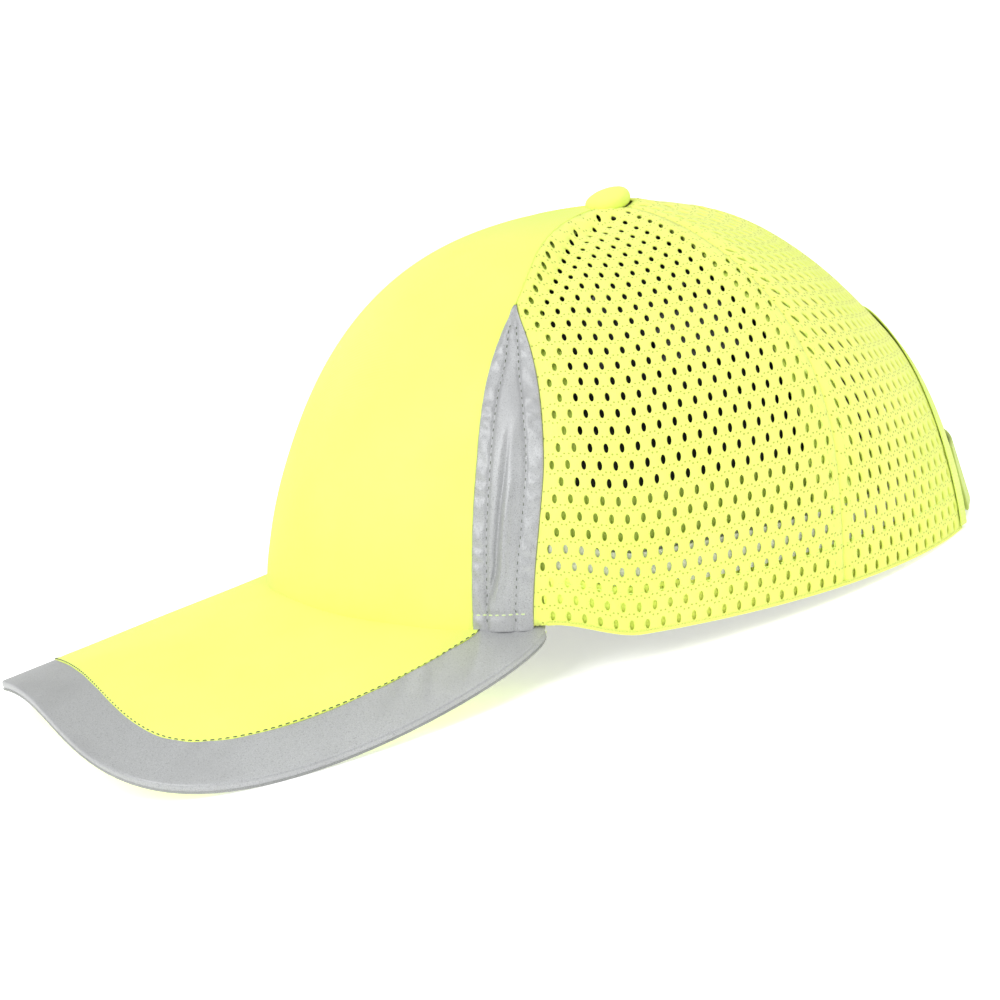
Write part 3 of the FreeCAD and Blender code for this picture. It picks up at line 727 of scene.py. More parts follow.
MAT = {
    "front_fabric": woven("front_weave", YELLOW, (0.82, 0.97, 0.17)),
    "mesh_fabric": mesh_cloth(),
    "reflective_fabric": silver(),
    "seam_tape": tape("yellow_tape", (0.82, 0.97, 0.22), (0.74, 0.90, 0.17)),
    "edge_binding": tape("grey_tape", (0.34, 0.35, 0.34), (0.26, 0.27, 0.26), 0.6),
    "sweatband_fabric": terry(),
    # The strap web is painted a darker, olive yellow: painted shade, the yellow webbing as it looks in the
    # shade at the cap's back.
    "strap_fabric": tape("strap_web", (0.66, 0.80, 0.20), (0.52, 0.66, 0.14), 0.9),
    "loop_tape": pile("loop_pile", (0.05, 0.05, 0.052), (0.10, 0.10, 0.105), 1800.0, 0.0006),
    "hook_tape": hooks("hook_rows"),
    "label_fabric": woven("label_satin", (0.84, 0.81, 0.74), (0.78, 0.74, 0.66), 0.3),
    "shell_plastic": moulded("abs_black", (0.018, 0.018, 0.020), (0.028, 0.028, 0.030), 0.38, 1400.0),
    "foam": foam_cells(),
    "board_plastic": moulded("board_sheet", (0.80, 0.80, 0.76), (0.70, 0.70, 0.66), 0.5, 900.0),
    "rivet_metal": moulded("rivet_steel", (0.55, 0.55, 0.56), (0.42, 0.42, 0.43), 0.35, 1200.0, 0.9),
    "dark_thread": thread("dark_thread", (0.07, 0.09, 0.06), (0.12, 0.14, 0.10)),
    "pale_thread": thread("pale_thread", (0.72, 0.86, 0.45), (0.60, 0.76, 0.30)),
    "yellow_thread": thread("yellow_thread", (0.76, 0.92, 0.20), (0.62, 0.80, 0.14)),
}
SLOT_OF = {entry["node"]: entry["material_slot"] for entry in frame["record"]["subparts"]}
BODY_OF = {node: body for body, names in frame["record"]["behaviour"]["bodies"].items() for node in names}
for node_name, node in frame["nodes"].items():
    node.data.materials.clear()
    node.data.materials.append(MAT[SLOT_OF[node_name]])


def sewn(name, node, *args, **keys):
    """A pad that stands for one CAD node, in its slot's material and on its body."""
    slot = SLOT_OF[node]
    obj = pad(name, *args, material=MAT[slot], slot=slot, body=BODY_OF[node], **keys)
    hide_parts(node)
    return obj


# ---- front panel and inserts ----
def drop_to_brim(bearing):
    """How far below the hem the brim's cover lies, at the crown's outer face."""
    x, y = oval(wrapped(bearing))
    return on_brim(bearing) * (hem_height(bearing) - brim_height(x, y) - COVER_TOP + 0.25)


def front_place(s, t, depth):
    edge = front_seam(BUTTON_RING * t)
    climb = BUTTON_RING * t
    per = millimetres_per_degree(edge, climb)
    bearing = (edge + 0.2 / per) * (2.0 * s - 1.0)
    near = (1.0 - np.abs(2.0 * s - 1.0)) * edge * per
    crease = 0.35 * ripple(bearing * 0.12, climb * 14.0, 11) * fade(climb, 0.0, 0.35)
    crease = crease * smooth(near, 0.0, 12.0)
    p = crown(bearing, climb, depth + relief(bearing, climb) + crease)
    p[..., 2] -= drop_to_brim(bearing) * fade(climb, 0.0, 0.04)
    return p


sewn("front_panel_cloth", "front_panel", front_place, (150.0, 150.0), (0.0, 1.1), (1.5, 1.5), radius=0.5)


FRONT_ROW, BACK_ROW = 4.2, 4.8      # the insert's rows of stitches, from its two long edges


def insert_place(s, t, depth):
    """The insert: two stitched margins that pucker, and a loose fold between them."""
    climb = (INSERT_TIP - 0.012) * t
    left, right = front_seam(climb), side_edge(climb)
    per = millimetres_per_degree(left, climb)
    width = (right - left) * per
    bearing = left + (right - left) * s
    x, back = s * width, (1.0 - s) * width
    height = climb * 165.0
    groove = 0.0
    for at, where in ((x, FRONT_ROW), (back, BACK_ROW)):
        groove = groove + 0.42 * bell(at, np.minimum(where, width * 0.34), 0.55) * smooth(width, 3.0, 7.0)
    centre = np.clip((x - FRONT_ROW) / np.maximum(width - FRONT_ROW - BACK_ROW, 1.0), 0.0, 1.0)
    swell = -0.9 * np.sin(np.pi * centre) * smooth(width, 9.0, 14.0)
    fold_at = 7.6 + 0.05 * (height - 30.0) - 2.2 * fade(height, 6.0, 18.0)
    fold = 1.1 * bell(x, fold_at, 0.8) * smooth(height, 3.0, 16.0) * fade(height, 40.0, 62.0)
    lean = 1.2 * bell(x, fold_at + 2.3, 1.2) * smooth(height, 6.0, 14.0) * fade(height, 30.0, 48.0)
    pucker = 0.30 * np.sin(height * 1.05 + 1.4 * np.sin(height * 0.31) + x * 0.35)
    pucker = pucker * (bell(x, 1.9, 1.5) + bell(back, 2.2, 1.7))
    slack = 0.30 * ripple(x * 0.5, height * 0.22, 7) * np.sin(np.pi * np.clip(s, 0, 1))
    hem = 0.35 * bell(height, 4.2, 0.8)
    p = crown(bearing, climb, depth + relief(bearing, climb) * 0.6 + groove + swell * 0.8 + fold - lean
              + pucker + slack + hem)
    p[..., 2] -= drop_to_brim(bearing) * fade(climb, 0.0, 0.04)
    return p


for side, mirror in SIDES:
    sewn("insert_cloth_" + side, "reflective_insert_" + side, insert_place, (17.0, 98.0), (0.0, 0.9),
         (0.28, 0.55), radius=0.4, mirror=mirror)


# ---- mesh panels ----
def spaced(function, low, high, count):
    """A seam's bearings and climbs between two climbs."""
    climbs = np.linspace(low, high, count)
    return np.stack([function(climbs), climbs], -1)


def level_run(first, last, climb, count):
    """Bearings between two ends at one climb, without the ends."""
    return np.stack([np.linspace(first, last, count)[1:-1], np.full(count - 2, climb)], -1)


def arch_edge(angle, grow):
    """The rear opening's edge as x and height, over an angle from foot (0) to foot (pi)."""
    c = np.cos(angle)
    x = -np.copysign((ARCH_HALF_WIDTH + grow) * np.abs(c) ** (2 / ARCH_POWER), c)
    return x, (ARCH_HEIGHT + grow) * np.sin(angle) ** (2 / ARCH_POWER)


def over_rear(x, z):
    """The bearing and climb of the crown's rear face over an x and a height."""
    bearing = 180.0 - np.degrees(np.arcsin(np.clip(x / HALF_WIDTH, -1, 1)))
    for _ in range(14):
        got = crown(bearing, climb_at(bearing, z))[..., 0]
        more = crown(bearing + 0.2, climb_at(bearing + 0.2, z))[..., 0]
        bearing = bearing - (got - x) * 0.2 / (more - got)
    return bearing, climb_at(bearing, z)


def gap_off(function, gap):
    return lambda climb: function(climb) + gap / millimetres_per_degree(function(climb), climb)


side_pattern, rear_pattern = Pattern(84.0), Pattern(142.0)
side_front = spaced(gap_off(side_edge, 0.1), 0.0, BUTTON_RING, 90)
side_rear = spaced(gap_off(level(REAR_SEAM), 0.15), 0.0, BUTTON_RING, 70)[::-1]
side_outline = np.concatenate([
    side_front, level_run(side_front[-1, 0], side_rear[0, 0], BUTTON_RING, 8),
    side_rear, level_run(side_rear[-1, 0], side_front[0, 0], 0.0, 30)])
x_arch, z_arch = arch_edge(np.linspace(math.pi, math.pi / 2, 40), 0.6)
keep = z_arch > hem_height(144.0) + 0.02
arch_b, arch_c = over_rear(np.minimum(x_arch[keep], 52.0), z_arch[keep])
arch_b, arch_c = np.minimum(arch_b, 179.9), np.maximum(arch_c, 0.0)
rear_front = spaced(gap_off(level(REAR_SEAM), 0.1), 0.0, BUTTON_RING, 70)
rear_seam = spaced(gap_off(level(180.0), -0.1), arch_c[-1] + 0.004, BUTTON_RING, 40)[::-1]
rear_outline = np.concatenate([
    rear_front, level_run(rear_front[-1, 0], rear_seam[0, 0], BUTTON_RING, 8), rear_seam,
    np.stack([arch_b, arch_c], -1)[::-1], level_run(arch_b[0], rear_front[0, 0], 0.0, 24)])
for side, mirror in SIDES:
    mesh_panel("side_mesh_" + side, side_pattern, side_outline, "side_panel_" + side, mirror)
    mesh_panel("rear_mesh_" + side, rear_pattern, rear_outline, "rear_panel_" + side, mirror, 0.3)


# ---- tapes, hem, sweatband ----
def tape_half_width(climb):
    return 9.0 * (1.0 - 0.66 * smooth(climb, 0.35, 0.93))


def tape_edge(base, side):
    def edge(climb):
        middle = base(climb)
        return middle + side * tape_half_width(climb) / millimetres_per_degree(middle, climb)

    return edge


TAPE = (1.25, 1.75)
TAPE_FOOT, TAPE_TOP = level(0.03), level(0.93)
rear_seam_line = level(REAR_SEAM)
side_strip = between(tape_edge(rear_seam_line, -1), tape_edge(rear_seam_line, 1), TAPE_FOOT, TAPE_TOP)
for side, mirror in SIDES:
    sewn("front_tape_" + side, "front_seam_tape_" + side,
         between(tape_edge(front_seam, -1), tape_edge(side_edge, 1), TAPE_FOOT, TAPE_TOP),
         (30.0, 140.0), (1.75, 2.2), (2.0, 2.0), mirror=mirror)
    sewn("side_tape_" + side, "side_seam_tape_" + side, side_strip, (18.0, 135.0), TAPE, (1.5, 2.0),
         mirror=mirror)
sewn("rear_tape", "rear_seam_tape",
     between(tape_edge(level(180.0), -1), tape_edge(level(180.0), 1),
             level(float(climb_at(180.0, ARCH_HEIGHT + 5.0))), TAPE_TOP),
     (14.0, 60.0), TAPE, (1.5, 2.0))


def folded(t, leg_out, leg_in, radius):
    """A fold's reach and lift over t: down the outer leg, round, up the inner leg."""
    leg = 0.35          # share of t that each leg takes
    a = np.pi * np.clip((t - leg) / (1 - 2 * leg), 0.0, 1.0)
    reach = leg_out * np.maximum(1 - t / leg, 0.0) + leg_in * np.maximum((t - 1) / leg + 1, 0.0)
    return reach - radius * np.sin(a), radius * np.cos(a)


HEM_START = 61.5


def hem_place(s, t, depth):
    bearing = HEM_START + (BAND_END + 6.5 - HEM_START) * s
    reach, lift = folded(t, 0.7, HEM_HEIGHT, 0.85 - depth)
    climb = rise_to(0.0)(bearing)
    base = crown(bearing, climb, 0.8 - lift + relief(bearing, climb) * 0.5)
    base[..., 2] += reach + 0.55
    return base


for side, mirror in SIDES:
    sewn("hem_fold_" + side, "hem_" + side, hem_place, (170.0, 13.0), (0.0, 0.45), (2.0, 0.45),
         mirror=mirror)


def sweat_place(s, t, depth):
    bearing = BAND_END * (2.0 * s - 1.0)
    climb = 0.004 + (rise_to(SWEATBAND_HEIGHT)(bearing) - 0.004) * t
    return crown(bearing, climb, depth)


def sweat_inner(s, t, depth):
    """Terry swelling between the two rows of stitching, seen from inside."""
    swell = 0.5 * np.sin(np.pi * t) + 0.12 * ripple(s * 60.0, t * 4.0, 21) - 0.8 * bell(t, 0.1, 0.03)
    return sweat_place(s, t, depth + np.where(depth > 3.4, swell, 0.0))


band = sewn("sweatband_terry", "sweatband", sweat_inner, (480.0, SWEATBAND_HEIGHT), (2.3, 4.6),
            (3.0, 1.5), radius=1.1)
facing = between(level(62.0), level(BAND_END), rise_to(12.0), rise_to(22.5))
upper_tape = between(level(60.0), level(BAND_END), rise_to(23.0), rise_to(SHELL_CLEAR + 2.0), False)
for side, mirror in SIDES:
    pad("sweatband_facing_" + side, facing, (165.0, 10.0), (1.2, 1.75), (2.5, 1.5),
        MAT["sweatband_fabric"], "sweatband_fabric", mirror=mirror)
    pad("sweatband_tape_" + side, upper_tape, (165.0, 15.0), (1.85, 2.25), (2.5, 1.5),
        MAT["seam_tape"], "seam_tape", mirror=mirror)
sewn("blank_label", "size_label",
     between(level(112.0), level(128.0), level(0.05), level(0.155), False), (25.0, 17.0), (5.25, 5.65),
     (1.5, 1.5))


# ---- brim ----
def brim_outline(u):
    a = np.abs(u)
    front = -HALF_LENGTH - BRIM_LENGTH
    points = ((0.0, front), (BRIM_FRONT_HANDLE, front), (BRIM_SHOULDER, front), BRIM_SIDE_HANDLE,
              oval(BRIM_CORNER))
    weights = [math.comb(4, k) * (1 - a) ** (4 - k) * a ** k for k in range(5)]
    x = sum(w * p[0] for w, p in zip(weights, points))
    y = sum(w * p[1] for w, p in zip(weights, points))
    return np.stack([np.copysign(x, u), y], -1)


def brim_root(u):
    x, y = oval(BRIM_CORNER * u)
    shrink = 1.0 - BRIM_TUCK / np.hypot(x, y)
    return np.stack([x * shrink, y * shrink], -1)


def inward(u, distance):
    """The brim's outline moved in by a distance."""
    step = 0.002
    d = unit(brim_outline(np.clip(u + step, -1, 1)) - brim_outline(np.clip(u - step, -1, 1)))
    p = brim_outline(u)
    return np.stack([p[..., 0] - d[..., 1] * distance, p[..., 1] + d[..., 0] * distance], -1)


def brim_point(xy, height):
    """A point at a height over the brim's board, square to it."""
    x, y = xy[..., 0], xy[..., 1]
    step = 0.2
    dx = (brim_height(x + step, y) - brim_height(x - step, y)) / (2 * step)
    dy = (brim_height(x, y + step) - brim_height(x, y - step)) / (2 * step)
    normal = unit(np.stack([-dx, -dy, np.ones_like(dx)], -1))
    return np.stack([x, y, brim_height(x, y)], -1) + normal * np.asarray(height)[..., None]


EDGE = brim_outline(np.linspace(-1.0, 1.0, 801))


def from_edge(xy):
    """Distance from the brim's outer edge."""
    flat = xy.reshape(-1, 2)
    best = np.concatenate([np.min(np.linalg.norm(part[:, None] - EDGE[None], axis=-1), axis=1)
                           for part in np.array_split(flat, max(len(flat) // 4000, 1))])
    return best.reshape(xy.shape[:-1])


def across_brim(u, t):
    root, rim = brim_root(u), brim_outline(u)
    return root + (rim - root) * t[..., None]


BAND_U = np.linspace(-1.0, 1.0, 241)
BAND_START = halve(lambda t: from_edge(across_brim(BAND_U, t)) > BAND_WIDTH,
                   np.zeros(len(BAND_U)), np.ones(len(BAND_U)), 24)
BAND_TURN = 0.87        # share of the band's width that lies on top of the brim
COVER_U = BAND_U[BAND_START > 1e-4].max()


def band_start(u):
    return np.interp(u, BAND_U, BAND_START)


def cover_place(s, t, depth):
    u = COVER_U * (2.0 * s - 1.0)
    xy = across_brim(u, band_start(u) * t)
    soft = 0.12 * ripple(xy[..., 0] * 0.05, xy[..., 1] * 0.07, 31)
    soft = soft + 0.10 * bell(from_edge(xy), BAND_WIDTH + 1.6, 0.6)
    return brim_point(xy, COVER_TOP + 0.35 - depth - soft)


def band_place(s, t, depth):
    """The reflective band: flat along the brim, then turned down over its edge."""
    u = 2.0 * s - 1.0
    start = np.maximum(band_start(u) - 1.5 / BRIM_LENGTH, 0.0)
    xy = across_brim(u, start + (1.0 - start) * np.minimum(t / BAND_TURN, 1.0))
    edge = from_edge(xy)
    run = u * 160.0
    pucker = 0.20 * np.sin(run * 0.42 + 2.0 * np.sin(run * 0.11)) * bell(edge, BAND_WIDTH, 7.0)
    pucker = pucker * (0.35 + 0.65 * smooth(np.abs(u), 0.5, 0.85))
    fold = 0.28 * bell(run + (edge - 9.0) * 0.35, 118.0, 1.6)
    fold = fold + 0.22 * bell(run - (edge - 9.0) * 0.25, 131.0, 1.9)
    soft = 0.10 * ripple(xy[..., 0] * 0.09, xy[..., 1] * 0.09, 33)
    flat = brim_point(xy, COVER_TOP - 0.1 - depth - soft + pucker + fold * smooth(edge, 1.0, 6.0))
    down = np.clip((t - BAND_TURN) / (1.0 - BAND_TURN), 0.0, 1.0)
    side = brim_point(inward(u, depth - 0.45), COVER_TOP - 0.1 + (UNDER_LOW + 0.3 - COVER_TOP) * down)
    turned = smooth(down, 0.0, 0.45)[..., None]
    return flat * (1.0 - turned) + side * turned


STITCH_ROW = 8.0        # spacing of the rows of stitches under the brim


def under_place(s, t, depth):
    xy = across_brim(2.0 * s - 1.0, t)
    edge = from_edge(xy)
    soft = 0.10 * ripple(xy[..., 0] * 0.06, xy[..., 1] * 0.06, 35)
    for k in range(1, 6):
        soft = soft + 0.22 * bell(edge, k * STITCH_ROW, 0.7)
    return brim_point(xy, UNDER_LOW + 0.75 - depth + soft)


def binding_place(s, t, depth):
    """The piping shows as a thin roll under the band's turned edge."""
    u = 2.0 * s - 1.0
    slim = 1.0 - 0.45 * smooth(np.abs(u), 0.965, 1.0)
    reach, lift = folded(t, 0.2, 2.6, (0.6 - depth) * slim)
    wave = 0.03 * np.sin(u * 260.0) * (t > 0.0)
    return brim_point(inward(u, reach - 0.1 + wave), UNDER_LOW + 0.12 + lift)


sewn("brim_cover_cloth", "brim_top_cover", cover_place, (190.0, 56.0), (0.0, 0.7), (1.3, 1.0),
     radius=0.5)
sewn("brim_band_cloth", "brim_reflective_band", band_place, (250.0, 18.5), (0.0, 0.6), (0.7, 0.45),
     radius=0.3)
sewn("brim_under_cloth", "brim_under_cover", under_place, (230.0, 76.0), (0.0, 0.75), (1.6, 0.9),
     radius=0.3)
sewn("brim_piping", "brim_edge_binding", binding_place, (330.0, 6.0), (0.0, 0.4), (1.6, 0.3))


def brim_stitches(name, xy, height, out, material, **keys):
    """Stitches along the brim; out is 1 on its top and -1 underneath."""
    base = brim_point(xy, np.full(len(xy), height))
    normals = (brim_point(xy, np.full(len(xy), height + 1.0)) - base) * out
    stitches(name, base, normals, MAT[material], "front_fabric", thick=0.2, **keys)


cover_u = np.linspace(-0.995 * COVER_U, 0.995 * COVER_U, 260)
brim_stitches("band_stitches", across_brim(cover_u, band_start(cover_u) - 0.35 / BRIM_LENGTH),
              COVER_TOP + 0.36, 1.0, "dark_thread", pitch=2.1, length=1.3)
for k in range(3):
    limit = 0.90 - 0.07 * k
    brim_stitches("under_stitches_%d" % k, inward(np.linspace(-limit, limit, 260), (k + 1) * STITCH_ROW),
                  UNDER_LOW - 0.02, -1.0, "yellow_thread")

TAG_PLACE, TAG_SPAN, TAG_DROP = 0.735, 0.035, 3.0       # along the edge, its share of it, its length


def tag_place(s, t, depth):
    curl = 0.6 * np.sin(np.pi * t)
    xy = inward(TAG_PLACE + TAG_SPAN * (s - 0.5), 3.6 + 3.0 * depth + curl)
    return brim_point(xy, UNDER_LOW - 0.7 - TAG_DROP * t)


sewn("folded_tag", "brim_tag", tag_place, (7.0, 3.6), (0.0, 0.3), (0.7, 0.5))

# ---- button ----
BUTTON_TILT, BUTTON_SIDES, BUTTON_GATHER = math.radians(12.0), 64, 0.012
BUTTON_FOOT = (0.0, LEAN - 1.2, CROWN_HEIGHT - 0.3)
DOME = ((5.8, -1.0), (6.35, -0.2), (6.65, 0.6), (6.7, 1.5), (6.5, 2.3), (6.0, 3.0), (5.1, 3.6),
        (3.9, 4.05), (2.4, 4.35), (1.0, 4.48), (0.12, 4.5))      # radius, height


def button():
    """The covered button: a turned dome, gathered in eight and tilted with the crown's top."""
    tilt_cos, tilt_sin = math.cos(BUTTON_TILT), math.sin(BUTTON_TILT)
    points = []
    for i, (radius, z) in enumerate(DOME):
        for k in range(BUTTON_SIDES):
            a = 2 * math.pi * k / BUTTON_SIDES
            r = radius * (1.0 + BUTTON_GATHER * math.sin(8 * a) * math.sin(math.pi * i / (len(DOME) - 1)))
            x, y = r * math.cos(a), r * math.sin(a)
            points.append((x, y * tilt_cos - z * tilt_sin, y * tilt_sin + z * tilt_cos))
    points = np.array(points) + BUTTON_FOOT
    obj = add_mesh("button_cloth", row(points), tube(len(DOME), BUTTON_SIDES, 0), MAT["front_fabric"],
                   "cap", points[:, :2])
    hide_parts("button_cap")


button()

# ---- rear opening and strap ----
ARCH_MARGIN, BINDING_LEG = 0.024, 4.6


def arch_place(s, t, depth):
    """The binding: a tape folded over the edge of the rear opening."""
    angle = ARCH_MARGIN + (math.pi - 2 * ARCH_MARGIN) * s
    x, z = arch_edge(angle, -0.9)
    bearing, climb = over_rear(x, z)
    sunk = relief(bearing, climb)
    here = crown(bearing, climb, sunk)
    normal = here - crown(bearing, climb, sunk + 1.0)
    onward = crown(*over_rear(*arch_edge(angle + 0.004, -0.9)), sunk) - here
    into = unit(np.cross(normal, onward))
    into = into * np.sign(into[..., 0] * x + into[..., 2] * (z - 15.0))[..., None]
    reach, lift = folded(t, BINDING_LEG, BINDING_LEG, 1.15 - depth)
    return here + into * reach[..., None] + normal * (lift - 0.45)[..., None]


sewn("opening_tape", "opening_binding", arch_place, (150.0, 12.0), (0.0, 0.45), (1.4, 0.4))


def strap_point(bearing, height, depth):
    """A point of the strap's web, which runs on straight over the crown's rear."""
    inset = STRAP_INSET * smooth(wrapped(bearing), 140.0, 158.0)
    base = crown(bearing, climb_at(bearing, STRAP_LOW + 0 * bearing))
    lean = crown(bearing, climb_at(bearing, STRAP_HIGH + 0 * bearing)) - base
    share = (height - STRAP_LOW) / (STRAP_HIGH - STRAP_LOW)
    a = np.radians(bearing)
    normal = np.stack([np.sin(a) / HALF_WIDTH, -np.cos(a) / HALF_LENGTH, 0 * a], -1)
    normal = unit(normal - lean * (np.sum(normal * lean, -1) / np.sum(lean * lean, -1))[..., None])
    return base + lean * share[..., None] - normal * (inset + depth)[..., None]


def strap_place(start, end, margin=0.0, lift=None):
    def place(s, t, depth):
        bearing = start + (end - start) * s
        shift = lift(bearing) if lift else 0.0
        low, high = STRAP_LOW + margin, STRAP_HIGH - margin
        return strap_point(bearing, low + (high - low) * t, depth + shift)

    return place


def crossing(bearing):
    """The right half comes out over the left one where they overlap."""
    return -3.25 * fade(bearing, PEEL_AXIS + 4.0, PEEL_AXIS + 20.0)


STRAP_WIDTH, STRAP_DEPTHS, STRAP_STEP = 19.0, (2.3, 3.4), (0.5, 0.6)
TAPE_MARGIN = 0.8       # fastener tapes are this much narrower than the web on each side
TAPE_WIDTH = STRAP_WIDTH - 2 * TAPE_MARGIN
sewn("strap_left_web", "strap_left", strap_place(STRAP_ROOT, STRAP_END), (72.0, STRAP_WIDTH),
     STRAP_DEPTHS, STRAP_STEP)
sewn("strap_loops", "strap_loop_tape", strap_place(FLAP_END - 4.0, STRAP_END, TAPE_MARGIN),
     (64.0, TAPE_WIDTH), (1.35, 2.2), STRAP_STEP)
web = pad("strap_right_web", strap_place(FLAP_END, 360.0 - STRAP_ROOT, 0.0, crossing), (108.0, STRAP_WIDTH),
          STRAP_DEPTHS, STRAP_STEP, MAT["strap_fabric"], "strap_fabric", body=None)
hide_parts("strap_right", "strap_flap")
start, end = (tuple(row(strap_point(np.array(PEEL_AXIS + off), np.array(13.3), np.array(-0.4))))
              for off in (3.0, -3.0))
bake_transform(web)
sewn("strap_hooks", "strap_hook_tape", strap_place(FLAP_END + 1.0, PEEL_AXIS - 6.0, TAPE_MARGIN),
     (54.0, TAPE_WIDTH), (0.2, 1.0), STRAP_STEP)


# ---- shell patches and pads ----
def shell_low(bearing):
    over = smooth(wrapped(bearing), 118.0, 160.0)
    height = hem_height(bearing) + SHELL_CLEAR
    return climb_at(bearing, height + (SHELL_REAR_EDGE - height) * over)


PAD_DEPTHS, PAD_MIDDLE = (7.4, 13.0), 10.0


def foam(name, left, right, low, high):
    """A pad glued in the shell, with a pillowed inner face."""
    def low_edge(bearing):
        return np.maximum(low, shell_low(bearing) + 0.015)

    place = between(level(left), level(right), low_edge, level(high), False)

    def pillow(s, t, depth):
        swell = 0.8 * (1.0 - (2 * s - 1) ** 2) * (1.0 - (2 * t - 1) ** 2) - 0.4
        return place(s, t, depth + np.where(depth > PAD_MIDDLE, swell, 0.0))

    obj = sewn(name + "_eva", name, pillow, (100.0, 40.0), PAD_DEPTHS, (3.0, 2.5), radius=2.4)


foam("front_foam_pad", -40.0, 40.0, 0.32, 0.52)
foam("rear_foam_pad", 146.0, 214.0, 0.45, 0.60)
foam("left_foam_pad", 62.0, 128.0, 0.25, 0.46)
foam("right_foam_pad", -128.0, -62.0, 0.25, 0.46)
for name, node, depths, shrink in (("loop_patch", "crown_loop_patches", (1.2, 1.65), 0.0),
                                   ("hook_patch", "shell_hook_patches", (4.0, 5.05), 1.0)):
    for k, (bearing, climb) in enumerate(PATCHES):
        wide = (PATCH_HALF_SIZE[0] - shrink) / float(millimetres_per_degree(bearing, climb))
        up = (PATCH_HALF_SIZE[1] - shrink) / 150.0
        place = between(level(bearing - wide), level(bearing + wide), level(climb - up), level(climb + up),
                        node == "crown_loop_patches")
        sewn("%s_%d" % (name, k), node, place, (24.0, 18.0), depths, (1.0, 1.0))


DISC_Y, DISC_HUB = LEAN * 0.9, 0.2      # the disc's middle, and the share of it that is drawn flat


def disc_place(s, t, depth):
    """A round pad under the crown's top: the square of s and t drawn out into a disc."""
    a, b = 2.0 * s - 1.0, 2.0 * t - 1.0
    x, y = a * np.sqrt(1.0 - b * b / 2), b * np.sqrt(1.0 - a * a / 2)
    out = np.hypot(x, y)
    bearing = np.degrees(np.arctan2(x, -y))

    def outside(climb):
        p = crown(bearing, climb, PAD_MIDDLE)
        return np.hypot(p[..., 0], p[..., 1] - DISC_Y) > np.maximum(out, DISC_HUB) * CROWN_PAD_RADIUS

    climb = halve(outside, np.full(s.shape, 0.5), np.full(s.shape, 0.985), 16)
    deep = depth + np.where(depth > PAD_MIDDLE, 0.9 * (1.0 - out * out) - 0.5, 0.0)
    p = crown(bearing, climb, deep)
    centre = np.stack([0.0 * deep, 0.0 * deep + DISC_Y, CROWN_HEIGHT - 0.2 - deep], -1)
    return np.where((out < DISC_HUB)[..., None], centre + (p - centre) * (out / DISC_HUB)[..., None], p)


disc = sewn("crown_foam_pad_eva", "crown_foam_pad", disc_place, (60.0, 60.0), PAD_DEPTHS, (2.5, 2.5),
            radius=2.2)

# ---- stitches on the crown ----
line = np.linspace(0.02, 0.93, 200)


def insert_stitches(name, share, up, material, mirror, **keys):
    """Stitches on the insert along shares of its width and of its height."""
    base = insert_place(share, up, np.zeros(share.shape))
    out = base - insert_place(share, up, np.ones(share.shape))
    if mirror:
        base, out = base * MIRROR, out * MIRROR
    stitches(name, base, out, MAT[material], "reflective_fabric", **keys)


def insert_line(limit):
    """Shares of the insert's width at a distance from its front edge, along its height."""
    climb = (INSERT_TIP - 0.012) * line
    width = (side_edge(climb) - front_seam(climb)) * millimetres_per_degree(front_seam(climb), climb)
    return np.minimum(limit, width * 0.34) / width


hem_line = np.linspace(63.0, 142.0, 240)
for side, mirror in SIDES:
    sign = -1 if mirror else 1
    for k, shares in enumerate((insert_line(FRONT_ROW), 1.0 - insert_line(BACK_ROW))):
        insert_stitches("insert_stitches_%d_%s" % (k, side), shares, line, "dark_thread", mirror,
                        pitch=2.3, length=1.35, thick=0.2, sink=0.02)
    insert_stitches("insert_hem_stitches_" + side, np.linspace(0.05, 0.95, 40), np.full(40, 0.043),
                    "pale_thread", mirror, pitch=1.9, length=1.3, thick=0.24, sink=0.0)
    for k, off in enumerate((-3.2, 3.2)):
        seam_line = REAR_SEAM + off / millimetres_per_degree(REAR_SEAM + 0 * line, line)
        crown_stitches("seam_stitches_%d_%s" % (k, side), seam_line * sign, line, length=1.6)
    crown_stitches("hem_stitches_" + side, hem_line * sign, rise_to(11.5)(hem_line), pitch=2.8, length=1.8)

# ---- floor, light and camera ----
def stage_plane():
    mesh = bpy.data.meshes.new("floor")
    corners = [(12.0 * x, 12.0 * y, 0.0) for x, y in ((-1, -1), (1, -1), (1, 1), (-1, 1))]
    mesh.from_pydata(corners, [], [(0, 1, 2, 3)])
    made = Shader("floor_paint", (0.92, 0.92, 0.92), 0.8, specular=0.2)
    made.bsdf.inputs["Emission Color"].default_value = (1.0, 1.0, 1.0, 1.0)
    made.bsdf.inputs["Emission Strength"].default_value = 0.5
    made.bump(made.noise(3.0), 0.0005, 0.2)
    mesh.materials.append(made.material)
    floor = bpy.data.objects.new("floor", mesh)
    bpy.context.scene.collection.objects.link(floor)


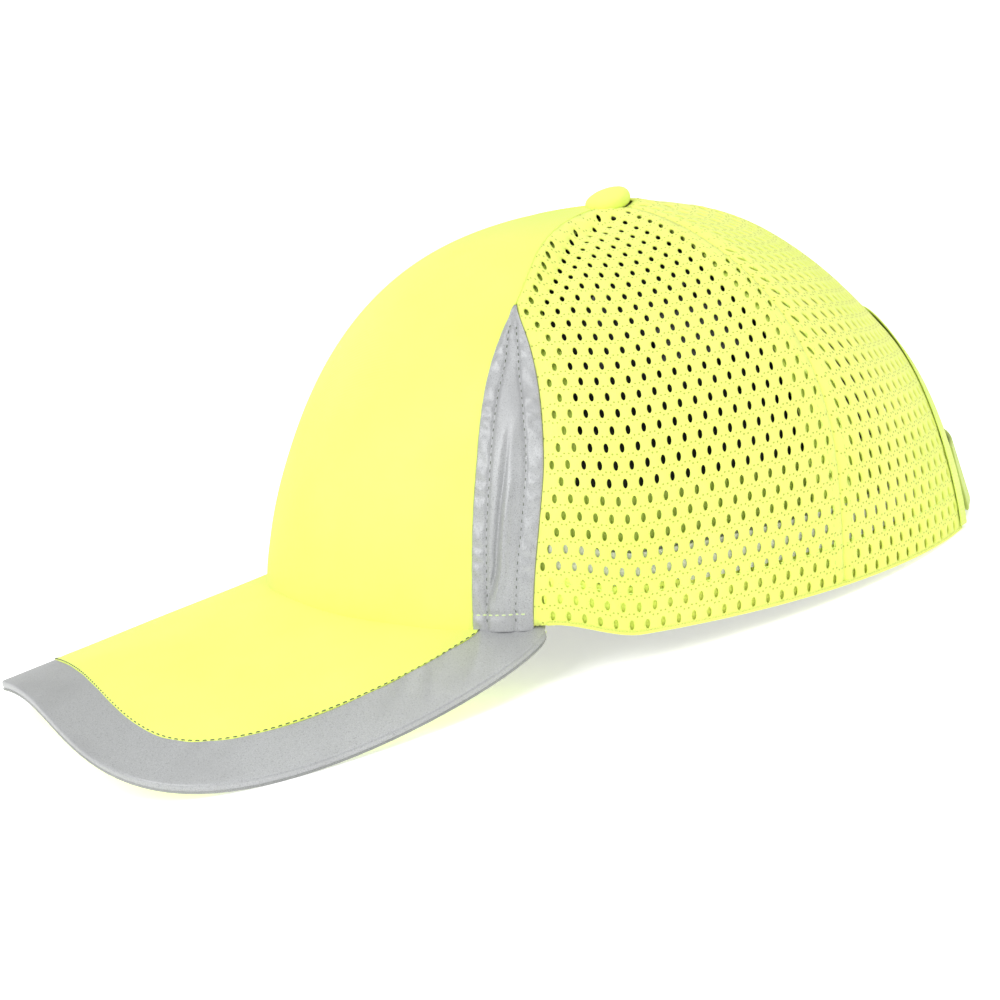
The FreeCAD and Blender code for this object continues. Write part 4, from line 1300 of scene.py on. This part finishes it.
stage_plane()
scene = bpy.context.scene
scene.view_settings.view_transform = "Standard"
world = bpy.data.worlds.new("studio")
scene.world = world
world.use_nodes = True
background = world.node_tree.nodes["Background"]
background.inputs["Color"].default_value = (1.0, 1.0, 1.0, 1.0)
background.inputs["Strength"].default_value = 0.62


def lamp(name, place, size, power):
    light = bpy.data.lights.new(name, "AREA")
    light.shape = "DISK"
    light.size = size
    light.energy = power
    obj = bpy.data.objects.new(name, light)
    obj.location = place
    aim = Vector((0.0, 0.0, 0.06)) - Vector(place)
    obj.rotation_euler = aim.to_track_quat("-Z", "Y").to_euler()
    scene.collection.objects.link(obj)


lamp("key", (0.9, -1.5, 1.5), 1.6, 26.0)
lamp("top", (0.2, 0.6, 2.0), 1.8, 16.0)

CAMERA_AZIMUTH, CAMERA_ELEVATION, CAMERA_ROLL = 71.94, 10.88, -8.06
CAMERA_DISTANCE, FOCAL_SHARE = 1.5, 5.20
AIM_OFFSET = (-0.01900, -0.02640)       # slopes from the crown's middle to the picture's middle
az, el, ro = (math.radians(v) for v in (CAMERA_AZIMUTH, CAMERA_ELEVATION, CAMERA_ROLL))
back = Vector((math.sin(az) * math.cos(el), -math.cos(az) * math.cos(el), math.sin(el)))
right = Vector((math.cos(az), math.sin(az), 0.0))
up = back.cross(right)
across = right * math.cos(ro) + up * math.sin(ro)
upward = up * math.cos(ro) - right * math.sin(ro)
back, across, upward = turn(back), turn(across), turn(upward)
target = Vector(row(np.array([0.0, 0.0, 60.0])))
forward = (across * AIM_OFFSET[0] + upward * AIM_OFFSET[1] - back).normalized()
side_axis = (across - forward * across.dot(forward)).normalized()
up_axis = side_axis.cross(forward)
lens = bpy.data.cameras.new("camera")
lens.sensor_width = 36.0
lens.lens = 36.0 * FOCAL_SHARE
lens.clip_end = 50.0
camera = bpy.data.objects.new("camera", lens)
camera.matrix_world = Matrix.Translation(target + back * CAMERA_DISTANCE) @ Matrix(
    (side_axis, up_axis, -forward)).transposed().to_4x4()
scene.collection.objects.link(camera)
scene.camera = camera
